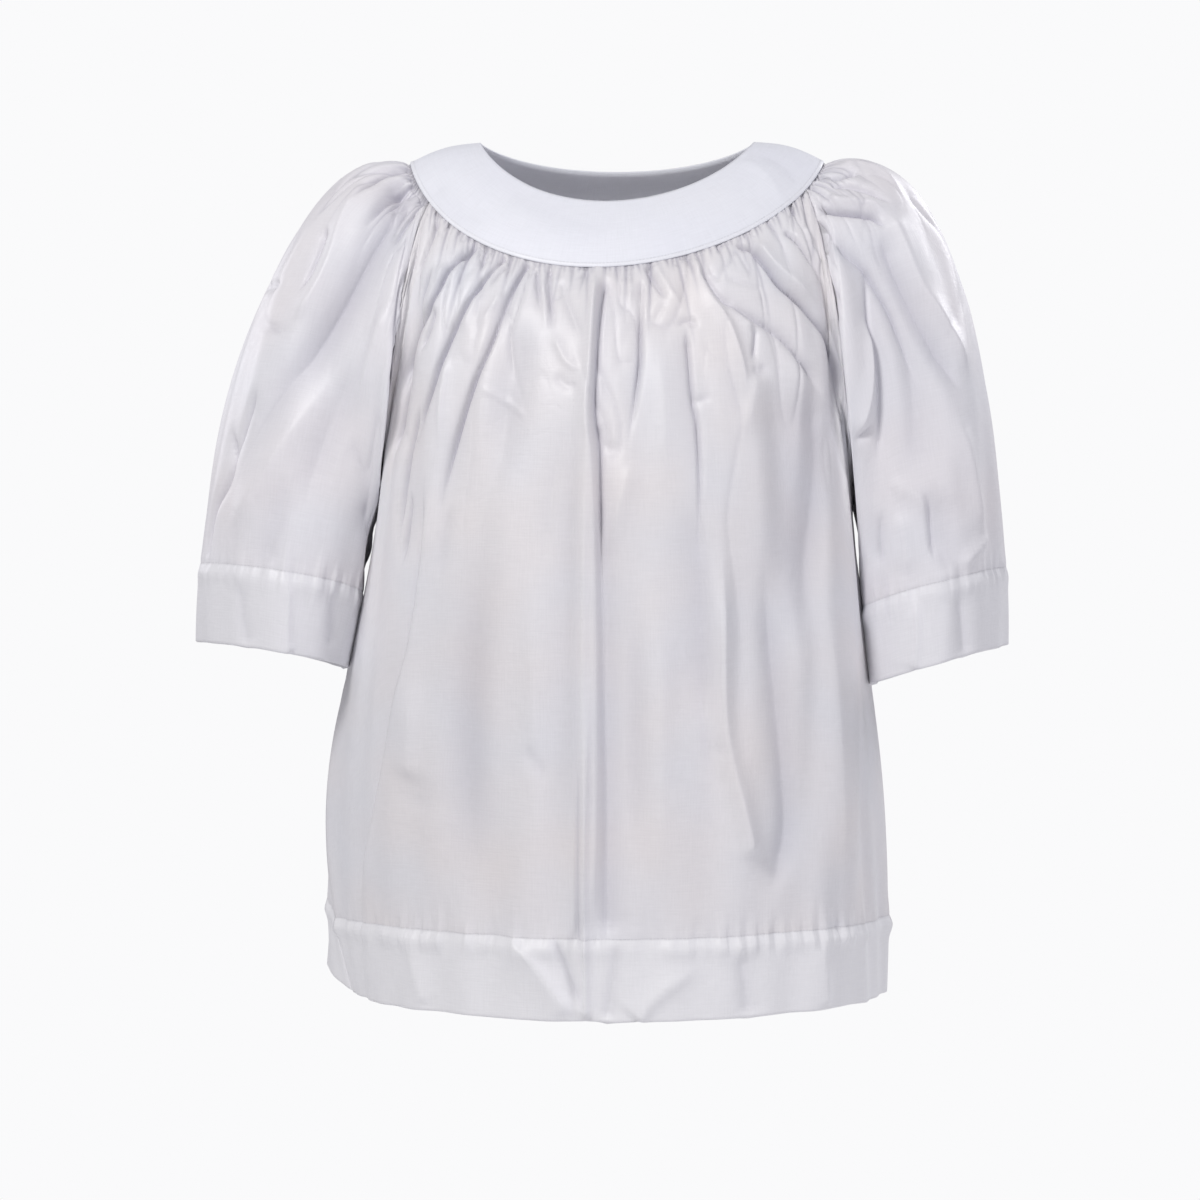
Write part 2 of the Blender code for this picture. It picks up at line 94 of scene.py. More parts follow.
# from the underarm to the top of the shoulder
sleeveFall = (
    (0.00, 0.36, 0.00, -0.93, 0.045, 0.050, 0.02),
    (0.12, 0.08, 0.42, -0.90, 0.090, 0.120, 0.13),
    (0.23, 0.55, 0.78, -0.30, 0.075, 0.190, 0.08),
    (0.36, 0.84, 0.52, 0.12, 0.095, 0.220, 0.01),
    (0.50, 0.95, 0.00, 0.31, 0.110, 0.240, 0.01),
)
cuffTurn = math.radians(16)
cuff = {
    left: {"x": 0.276, "halfWidth": 0.058, "halfDepth": 0.096, "z": -0.392, "tilt": 0.012,
           "frontRise": 0.009, "pull": 0.80, "lift": 0.90, "spread": 2.2},
    right: {"x": 0.257, "halfWidth": 0.052, "halfDepth": 0.094, "z": -0.400, "tilt": 0.017,
            "frontRise": 0.005, "pull": 1.00, "lift": 0.92, "spread": 1.2},
}


def smoothStep(values, low, high):
    share = np.clip((values - low) / (high - low), 0.0, 1.0)
    return share * share * (3.0 - 2.0 * share)


def uneven(index, seed=0):
    # an irregular value from -1 to 1 for each whole number
    return 0.6 * np.sin(index * 2.4 + seed) + 0.4 * np.sin(index * 5.3 + 1.0 + seed * 1.7)


def unit(vectors):
    return vectors / np.linalg.norm(vectors, axis=-1, keepdims=True)


def readTable(rows, column, at):
    # one column of a table of falls, along a smooth curve through its rows
    table = np.array(rows)
    places, values = table[:, 0], table[:, fallColumns.index(column)]
    slopes = np.gradient(values, places)
    lower = np.clip(np.searchsorted(places, at, side="right") - 1, 0, len(places) - 2)
    span = places[lower + 1] - places[lower]
    share = (at - places[lower]) / span
    rise = smoothStep(share, 0.0, 1.0)
    leave = share * (1.0 - share) ** 2 * span
    arrive = share * share * (share - 1.0) * span
    return (values[lower] * (1.0 - rise) + values[lower + 1] * rise
            + slopes[lower] * leave + slopes[lower + 1] * arrive)


def edgePoint(edge, face, turn):
    # a point of a yoke edge, at a turn from the middle of its front or back
    across, along = math.sin(turn), math.cos(turn)
    soft = edge["roundOff"]
    drop = (math.hypot(along, soft) - soft) / (math.hypot(1.0, soft) - soft)
    middle = "Front" if face == front else "Back"
    height = edge["zSide"] + (edge["z" + middle] - edge["zSide"]) * drop
    if face == front:      # the front of the yoke hangs a little lower at the left
        height += edge["lean"] * 2 * across * along
    return (edge["side"] * across, face * edge[middle.lower()] * along, height)


def curvePoint(start, first, second, end, share):
    rest = 1.0 - share
    weights = (rest**3, 3 * rest * rest * share, 3 * rest * share * share, share**3)
    return sum(weight * np.asarray(point)
               for weight, point in zip(weights, (start, first, second, end)))


def raglanPoint(side, face, share):
    # a point of a raglan seam, from the yoke to the underarm
    mirror = np.array((side, 1.0, 1.0))
    return curvePoint(np.array(edgePoint(yokeEdge, face, side * cornerTurn)),
                      np.array(raglan[face]["high"]) * mirror,
                      np.array(raglan[face]["low"]) * mirror,
                      np.array(underarm) * mirror, share)


# Rows and columns of the cloth's grid: closer together at the gathers and at the hem's stitches.
grid = {"bodyColumns": 378, "sleeveColumns": 380, "yokeColumns": 300, "bodyRows": 166,
        "sleeveRows": 120, "hemRows": 24, "yokeRows": 26, "lengthSteps": 400, "widthRows": 30,
        "shareSteps": 600,
        "pathSteps": 6,
        "onYoke": 0.88,           # share of the columns that start at the yoke
        "insideEvery": 3,         # the inside of the cloth has one row for so many outside
        "atYoke": 1.6, "atStitches": 1.5, "atFoot": 1.0,      # how much closer the rows lie there
        "startLong": 0.30, "endLong": 0.05}                   # and over which share of them


def rowShares(count, closeAtStart, closeAtEnd):
    places = np.linspace(0.0, 1.0, grid["shareSteps"])
    density = 1.0 + closeAtStart * np.exp(-(places / grid["startLong"]) ** 2)
    density += closeAtEnd * np.exp((places - 1) / grid["endLong"])
    total = np.concatenate([[0.0], np.cumsum((density[1:] + density[:-1]) / 2)])
    return np.interp(np.linspace(0.0, total[-1], count + 1), total, places)


def hangColumns(top, setOff, foot, arrive, pull, lift, rowsDown):
    # columns of points fall from a top edge to a lower edge along cubic curves
    first = top + setOff * pull[:, None]
    second = foot + arrive * lift[:, None]
    steps = grid["lengthSteps"]
    fine = np.array([curvePoint(top, first, second, foot, k / steps) for k in range(steps + 1)])
    lengths = np.linalg.norm(np.diff(fine, axis=0), axis=2)
    down = np.vstack([np.zeros(len(top)), np.cumsum(lengths, axis=0)])
    toStitches = down[-1] - cloth["hemDepth"]
    above = rowShares(rowsDown, grid["atYoke"], grid["atStitches"])
    rows = [share * toStitches for share in above]
    hem = rowShares(grid["hemRows"], grid["atStitches"], grid["atFoot"])[1:]
    rows += [toStitches + share * cloth["hemDepth"] for share in hem]
    below = np.array(rows)
    points = np.empty(below.shape + (3,))
    for column in range(len(top)):
        for axis in range(3):
            points[:, column, axis] = np.interp(
                below[:, column], down[:, column], fine[:, column, axis])
    return points, below, down[-1] - below


def acrossSteps(points, closed):
    if closed:
        return (np.roll(points, -1, axis=1) - np.roll(points, 1, axis=1)) / 2
    return np.gradient(points, axis=1)


def clothNormals(points, closed):
    return unit(np.cross(np.gradient(points, axis=0), acrossSteps(points, closed)))


# Evening out starts this far below the top edge and is full this far below it, in metres.
soften = {"from": 0.004, "to": 0.06, "strength": 0.9, "rounds": 40}


def softenAcross(points, below, closed):
    # evens out corners that run down from the top edge, more the further below it
    strength = smoothStep(below, soften["from"], soften["to"]) * soften["strength"]
    for step in range(soften["rounds"]):
        if closed:
            middle = (np.roll(points, 1, axis=1) + np.roll(points, -1, axis=1)) / 2
        else:
            middle = points.copy()
            middle[:, 1:-1] = (points[:, :-2] + points[:, 2:]) / 2
        points = points + (middle - points) * strength[..., None]
    return points


def onCloth(points, face, place):
    # the point of the cloth that lies at (x, z), in millimetres, on its front or back
    x, z = place[0] / 1000, place[1] / 1000
    away = np.hypot(points[..., 0] - x, points[..., 2] - z)
    away = away + (points[..., 1] * face < 0)      # the other side is a metre further off
    return points[np.unravel_index(np.argmin(away), away.shape)]


def smoothPath(places):
    # a smooth curve through a few places
    steps = grid["pathSteps"]
    padded = np.vstack([2 * places[0] - places[1], places, 2 * places[-1] - places[-2]])
    found = []
    for k in range(len(places) - 1):
        a, b, c, d = padded[k:k + 4]
        for step in range(steps):
            t = step / steps
            found.append(0.5 * (2 * b + (c - a) * t + (2 * a - 5 * b + 4 * c - d) * t * t
                                + (3 * b - a - 3 * c + d) * t**3))
    return np.array(found + [places[-1]])


def besidePath(cells, ways, path):
    # how far each cell is from a path, at which share of its length, and if it is on its right
    lengths = np.concatenate([[0], np.cumsum(np.linalg.norm(np.diff(path, axis=0), axis=1))])
    nearest = np.full(len(cells), np.inf)
    along = np.zeros(len(cells))
    beside = np.zeros(len(cells))
    for k in range(len(path) - 1):
        step = path[k + 1] - path[k]
        size = np.linalg.norm(step)
        share = np.clip((cells - path[k]) @ step / size**2, 0, 1)
        off = cells - (path[k] + share[:, None] * step)
        away = np.linalg.norm(off, axis=1)
        closer = away < nearest
        side = np.sum(np.cross(step, off) * ways, axis=1)
        nearest = np.where(closer, away, nearest)
        along = np.where(closer, lengths[k] + share * size, along)
        beside = np.where(closer, side, beside)
    return nearest, along / lengths[-1], beside > 0


foldReach = 3.4          # how many of its widths a fold reaches sideways
creaseWide = 0.0020      # half the width of the sharp bottom of a folded valley
# these three set a fold's painted shade: a dark line along its crease and a darkening of its
# valley
lineWide = 0.0013        # half the width of the line where its two sides meet in the dark
fullLine = 9.0           # how deep a crease, in millimetres, makes a full line
dipShade = 0.035         # how much each millimetre of a valley's depth shuts it in


def foldHeight(table, points, normals):
    # how far the folds of a table lift each point off the smooth cloth, or push it in, and how
    # much painted shade they give each point, from 0 to 1
    height = np.zeros(points.shape[:2])
    paintedShade = np.zeros(points.shape[:2])
    for face, row in [(face, row) for face, rows in table.items() for row in rows]:
        own = dict(zip(foldColumns, row))
        places = row[len(foldColumns):]
        path = smoothPath(np.array([onCloth(points, face, place) for place in places]))
        reach = foldReach * max(own["left"], own["right"]) / 1000
        low, high = path.min(axis=0) - reach, path.max(axis=0) + reach
        near = np.all((points > low) & (points < high), axis=-1)
        nearest, share, onRight = besidePath(points[near], normals[near], path)
        fade = smoothStep(share, 0, own["starts"]) * (1 - smoothStep(share, 1 - own["ends"], 1))
        away = nearest / (np.where(onRight, own["right"], own["left"]) / 1000)
        shape = np.exp(-away ** own["round"])
        if own["step"]:      # the cloth steps up on the right and down on the left
            shape *= np.tanh(np.where(onRight, nearest, -nearest) / (own["step"] / 1000))
        lift = own["rise"] * shape - own["crease"] * np.exp(-(nearest / creaseWide) ** 2)
        height[near] += lift / 1000 * fade
        # painted shade: a dark line along the crease, and the valley darkened by its depth
        line = min(own["crease"] / fullLine, 1.0) * np.exp(-(nearest / lineWide) ** 2)
        dip = max(-own["rise"], 0.0) * dipShade * np.exp(-away ** 2)
        paintedShade[near] = np.maximum(paintedShade[near], (line + dip) * fade)
    return height, paintedShade


# Gathers in three sizes: how many, how deep their valleys are, how long they run, how wide they
# are at the seam, how they widen downwards and how dark their painted shade lines are. Sizes in
# metres.
gathers = {
    "sizes": ({"count": {"body": 17, "sleeve": 13}, "depth": 0.0030, "run": 0.075,
               "wide": 0.0022, "widen": 0.045, "line": 0.50},
              {"count": {"body": 29, "sleeve": 21}, "depth": 0.0022, "run": 0.034,
               "wide": 0.0017, "widen": 0.050, "line": 0.45},
              {"count": {"body": 71, "sleeve": 47}, "depth": 0.0013, "run": 0.013,
               "wide": 0.0012, "widen": 0.050, "line": 0.40}),
    "start": 0.0010,           # how far below the seam a valley is at its deepest
    "sharp": 1.05,             # 1 for a sharp valley between flat sides, 2 for a round one
    # how unlike one another they are
    "place": 0.40, "depth": 0.45, "run": 0.65, "sides": 0.45, "drift": 0.14,
    "puff": 0.0009,            # how far the gathered cloth swells out just below the seam
    "puffStart": 0.006, "puffLong": 0.022,
    "outside": 0.02, "inside": 0.03,       # the swell starts and ends over these shares
}


fadeStart = 0.1      # gathers and ripples fade from this share of their length on


def gatherHeight(kind, seed, places, ends, metresAcross, below):
    # valleys that start at the yoke, between the places at the two ends of the gathered stretch
    height = np.zeros_like(below)
    paintedShade = np.zeros_like(below)
    for size, own in enumerate(gathers["sizes"]):
        count = own["count"][kind]
        for number in range(count):
            chance = number * 3 + seed + size * 17
            shift = gathers["place"] * uneven(chance)
            start = ends[0] + (ends[1] - ends[0]) * (number + 0.5 + shift) / count
            drift = gathers["drift"] * uneven(chance * 2 + 11)
            depth = own["depth"] * (1 + gathers["depth"] * uneven(chance + 5))
            run = own["run"] * (1 + gathers["run"] * uneven(chance * 5 + 2))
            lean = gathers["sides"] * uneven(chance * 7 + 3)
            rows = int(np.max(np.sum(below < run, axis=0))) + 1
            down = below[:rows]
            off = (places - start) * metresAcross[:rows] - drift * down
            wide = (own["wide"] + own["widen"] * down) * np.where(off > 0, 1 + lean, 1 - lean)
            deep = smoothStep(down, 0.0, gathers["start"])
            fade = 1 - smoothStep(down, fadeStart * run, run)
            shape = np.exp(-(np.abs(off) / wide) ** gathers["sharp"])
            height[:rows] -= depth * deep * fade * shape
            # painted shade along the line of each valley
            line = np.exp(-(np.abs(off) / lineWide) ** 2)
            line *= own["line"] * depth / own["depth"] * fade
            paintedShade[:rows] = np.maximum(paintedShade[:rows], line)
    within = smoothStep(places, ends[0] - gathers["outside"], ends[0] + gathers["inside"])
    within *= 1 - smoothStep(places, ends[1] - gathers["inside"], ends[1] + gathers["outside"])
    puff = smoothStep(below, 0.0, gathers["puffStart"]) * np.exp(-below / gathers["puffLong"])
    return height + gathers["puff"] * puff * within, paintedShade


scatter = (12.9898, 78.233, 3.7, 43758.5453)      # uneven numbers that mix the places up


def noiseOver(u, v, seed):
    # smooth irregular rises and dips from -1 to 1, about one to each unit of u and of v
    wholeU, wholeV = np.floor(u), np.floor(v)
    shareU, shareV = smoothStep(u - wholeU, 0, 1), smoothStep(v - wholeV, 0, 1)

    def pick(i, j):
        mixed = np.sin(i * scatter[0] + j * scatter[1] + seed * scatter[2]) * scatter[3]
        return 2 * np.mod(mixed, 1.0) - 1

    near = pick(wholeU, wholeV) * (1 - shareU) + pick(wholeU + 1, wholeV) * shareU
    far = pick(wholeU, wholeV + 1) * (1 - shareU) + pick(wholeU + 1, wholeV + 1) * shareU
    return near * (1 - shareV) + far * shareV


# Ripples that wander down from the gathers, part and run together: how many across a piece, how
# long one is, how deep its sharp bottom, how far down the cloth they reach and how dark their
# painted shade is.
rippleColumns = ("across", "long", "depth", "reach", "line")
ripples = {
    "body": ((17, 0.120, 0.0028, 0.34, 0.20), (31, 0.060, 0.0026, 0.15, 0.35),
             (67, 0.024, 0.0014, 0.055, 0.35)),
    "sleeve": ((13, 0.110, 0.0036, 0.30, 0.30), (25, 0.055, 0.0026, 0.14, 0.35),
               (51, 0.024, 0.0014, 0.055, 0.35)),
    "sharp": 5.0, "lineSharp": 14.0, "narrow": 1.2,
    "bend": 0.45, "bendAcross": 0.5, "bendLong": 0.075,
    "finer": 0.35, "finerAcross": 2.3, "finerLong": 1.7,      # a second, finer noise in each
    # a coarser noise under the low limit takes them away and over the high one leaves them whole
    "patchAcross": 0.7, "patchLong": 0.8, "patchLow": -0.5, "patchHigh": 0.6,
}


def rippleHeight(kind, seed, places, below):
    # valleys along the lines where a stretched noise passes through nothing
    height = np.zeros_like(below)
    paintedShade = np.zeros_like(below)
    span = places * np.ones_like(below) / (2 if kind == "body" else 1)
    for size, row in enumerate(ripples[kind]):
        own = dict(zip(rippleColumns, row))
        down = below / own["long"]
        bend = noiseOver(span * own["across"] * ripples["bendAcross"],
                         below / ripples["bendLong"], seed + size + 20)
        u = span * own["across"] + ripples["bend"] * bend + 100
        found = noiseOver(u, down, seed * 7 + size)
        found += ripples["finer"] * noiseOver(u * ripples["finerAcross"],
                                              down * ripples["finerLong"], seed * 5 + size + 40)
        near = np.clip(1 - np.abs(found) * ripples["narrow"], 0, 1)
        patch = noiseOver(u * ripples["patchAcross"], down * ripples["patchLong"],
                          seed + size + 60)
        strong = smoothStep(patch, ripples["patchLow"], ripples["patchHigh"])
        strong *= 1 - smoothStep(below, fadeStart * own["reach"], own["reach"])
        height -= own["depth"] * strong * near ** ripples["sharp"]
        # painted shade along the bottom of each ripple
        paintedShade = np.maximum(paintedShade, own["line"] * strong * near ** ripples["lineSharp"])
    return height, paintedShade


def noiseAlong(values, spacing, seed):
    # smooth irregular rises and dips, about one to each spacing
    steps = values / spacing
    whole = np.floor(steps)
    share = smoothStep(steps - whole, 0, 1)
    return uneven(whole, seed) * (1 - share) + uneven(whole + 1, seed) * share


# Soft swells all over the cloth, in metres: the length, lean and start of each wave.
swells = {"height": 0.0011, "from": 0.02, "to": 0.16,
          "waves": ((0.083, 0.21, 0.3), (0.057, -0.13, 1.9), (0.121, 0.34, 4.2),
                    (0.041, 0.10, 2.7), (0.068, -0.28, 5.5))}
# Puckers along the stitches of a hem, in metres. Below its stitches the turned-up cloth bulges,
# more in some places than in others: "full" is by how much.
puckers = {
    "spacing": 0.0050, "height": 0.0021, "fineSpacing": 0.0031, "fine": 0.5,
    "evenHeight": 0.65, "unevenHeight": 0.5, "heightSpacing": 0.045,
    "reach": 0.011, "unevenReach": 0.6, "reachSpacing": 0.013,
    "groove": 0.0004, "grooveWide": 0.0014, "step": 0.0009, "stepLong": 0.009,
    # painted shade in the groove of the stitches, darker between the puckers
    "line": 0.10, "lineEven": 0.6, "lineUneven": 0.7, "lineLimits": (0.1, 1.2),
    "bulge": {"body": 0.0030, "sleeve": 0.0013}, "bulgeAt": 0.0085, "bulgeWide": 0.0068,
    "full": 0.55, "unevenFull": 0.6, "fullSpacing": 0.019, "fullWithPuckers": 0.35,
    "fullLimits": (0.05, 1.5),
}


def swellHeight(across, below, seed):
    height = np.zeros_like(below)
    for length, lean, phase in swells["waves"]:
        height += np.sin(2 * math.pi * (across + lean * below) / length + phase + seed)
    fade = smoothStep(below, swells["from"], swells["to"])
    return swells["height"] * height * fade / math.sqrt(3)


def hemHeight(kind, across, aboveFold, seed):
    own = puckers
    off = aboveFold - cloth["hemDepth"]
    reach = own["reach"] * (1 + own["unevenReach"] * noiseAlong(
        across, own["reachSpacing"], seed + 3))
    tall = noiseAlong(across, own["spacing"], seed)
    tall += own["fine"] * noiseAlong(across, own["fineSpacing"], seed + 1)
    tall *= own["evenHeight"] + own["unevenHeight"] * noiseAlong(
        across, own["heightSpacing"], seed + 6)
    groove = np.exp(-(off / own["grooveWide"]) ** 2)
    full = own["full"] + own["unevenFull"] * noiseAlong(across, own["fullSpacing"], seed + 8)
    full = np.clip(full + own["fullWithPuckers"] * tall, *own["fullLimits"])
    height = own["height"] * tall * np.exp(-(off / reach) ** 2) - own["groove"] * groove
    height += own["bulge"][kind] * full * np.exp(-((off + own["bulgeAt"]) / own["bulgeWide"]) ** 2)
    height += own["step"] * smoothStep(-off, 0.0, own["stepLong"])
    # painted shade in the stitch groove, darker where the cloth sinks between puckers
    line = np.clip(own["lineEven"] - own["lineUneven"] * tall, *own["lineLimits"])
    return height, own["line"] * groove * line


def bodyPanel(face, seed):
    even = np.linspace(-1, 1, grid["bodyColumns"])
    places = np.interp(even, (-1, -grid["onYoke"], grid["onYoke"], 1),
                       (-1, -gatheredShare, gatheredShare, 1))
    top, foot, arrive = [], [], []
    for place in places:
        side = left if place < 0 else right
        far = abs(place)
        if far <= gatheredShare:
            top.append(edgePoint(yokeEdge, face, cornerTurn * place / gatheredShare))
        else:
            top.append(raglanPoint(side, face, (far - gatheredShare) / (1 - gatheredShare)))
        across, along = math.sin(place * math.pi / 2), math.cos(place * math.pi / 2)
        share = (1 - far) / swingAt
        nearSide = share * math.exp(1 - share)
        swing = nearSide * leftSwing if face == back and side == left else 0.0
        tucked = nearSide * tuck if face == front else 0.0
        middle = "front" if face == front else "back"
        zMiddle = bodyHem["z" + middle.capitalize()]
        z = bodyHem["zSide"] + (zMiddle - bodyHem["zSide"]) * (1 - across ** bodyHem["roundOff"])
        x = bodyHem["left" if side == left else "right"] * across - swing - side * tucked
        foot.append((x, face * bodyHem[middle] * along, z + swingLift * swing))
        flare = sideFlare[side] * side * place ** flareRoundOff
        arrive.append((flare + swingLean * swing, 0.0, 1.0))
    far = np.abs(places)
    ways = np.stack([np.sign(places) * readTable(bodyFall, "x", far),
                     face * readTable(bodyFall, "y", far), readTable(bodyFall, "z", far)], axis=1)
    points, below, aboveFold = hangColumns(
        np.array(top), unit(ways), np.array(foot), np.array(arrive),
        readTable(bodyFall, "pull", far), readTable(bodyFall, "lift", far), grid["bodyRows"])
    points = softenAcross(points, below, False)
    normals = clothNormals(points, False) * -face
    toSide = (1.0 - far) * bodyHem["right"] * math.pi / 2
    return {"points": points, "normals": normals, "below": below, "aboveFold": aboveFold,
            "places": places, "ends": (-gatheredShare, gatheredShare), "toSide": toSide,
            "closed": False, "kind": "body", "seed": seed}


def sleeveTube(side, seed):
    count = grid["sleeveColumns"]
    places = np.arange(count) / count + 0.5 / count
    onYoke = 0.5 - raglanShare
    own = cuff[side]
    top, foot, arrive = [], [], []
    for place in places:
        face = front if place <= 0.5 else back
        far = min(place, 1 - place)
        if far < raglanShare:
            top.append(raglanPoint(side, face, 1 - far / raglanShare))
        else:
            turn = cornerTurn + (math.pi / 2 - cornerTurn) * (far - raglanShare) / onYoke
            top.append(edgePoint(yokeEdge, face, side * turn))
        inward, forward = math.cos(2 * math.pi * place), math.sin(2 * math.pi * place)
        wide, deep = own["halfWidth"] * inward, own["halfDepth"] * forward
        foot.append((side * (own["x"] - wide * math.cos(cuffTurn) - deep * math.sin(cuffTurn)),
                     wide * math.sin(cuffTurn) - deep * math.cos(cuffTurn),
                     own["z"] - own["tilt"] * inward + own["frontRise"] * max(forward, 0.0)))
    far = np.minimum(places, 1 - places)
    ways = np.stack([side * readTable(sleeveFall, "x", far),
                     np.where(places <= 0.5, front, back) * readTable(sleeveFall, "y", far),
                     readTable(sleeveFall, "z", far)], axis=1)
    arrive = np.tile((0.0, 0.0, 1.0), (count, 1))
    arrive[:, 0] = -side * own["spread"] * readTable(sleeveFall, "spread", far)
    points, below, aboveFold = hangColumns(
        np.array(top), unit(ways), np.array(foot), arrive,
        readTable(sleeveFall, "pull", far) * (1 + (own["pull"] - 1) * 2 * far),
        readTable(sleeveFall, "lift", far) * (1 + (own["lift"] - 1) * 2 * far),
        grid["sleeveRows"])
    points = softenAcross(points, below, True)
    normals = clothNormals(points, True) * side
    return {"points": points, "normals": normals, "below": below, "aboveFold": aboveFold,
            "places": places, "ends": (raglanShare, 1 - raglanShare),
            "toSide": np.full(count, 1.0), "closed": True, "kind": "sleeve", "seed": seed}


def yokeHalf(face):
    turns = np.linspace(-math.pi / 2, math.pi / 2, grid["yokeColumns"])
    neck = np.array([edgePoint(neckEdge, face, turn) for turn in turns])
    seam = np.array([edgePoint(yokeEdge, face, turn) for turn in turns])
    shares = np.linspace(0, 1, grid["yokeRows"] + 1)
    points = neck[None] + (seam - neck)[None] * shares[:, None, None]
    normals = clothNormals(points, False) * -face
    below = np.linalg.norm(points - neck[None], axis=2)
    across = np.concatenate([[0], np.cumsum(np.linalg.norm(np.diff(seam, axis=0), axis=1))])
    return {"points": points, "normals": normals, "below": below,
            "aboveFold": np.linalg.norm(points - seam[None], axis=2), "across": across,
            "toSide": (math.pi / 2 - np.abs(turns)) * yokeEdge["side"], "shares": shares,
            "closed": False, "kind": "yoke"}


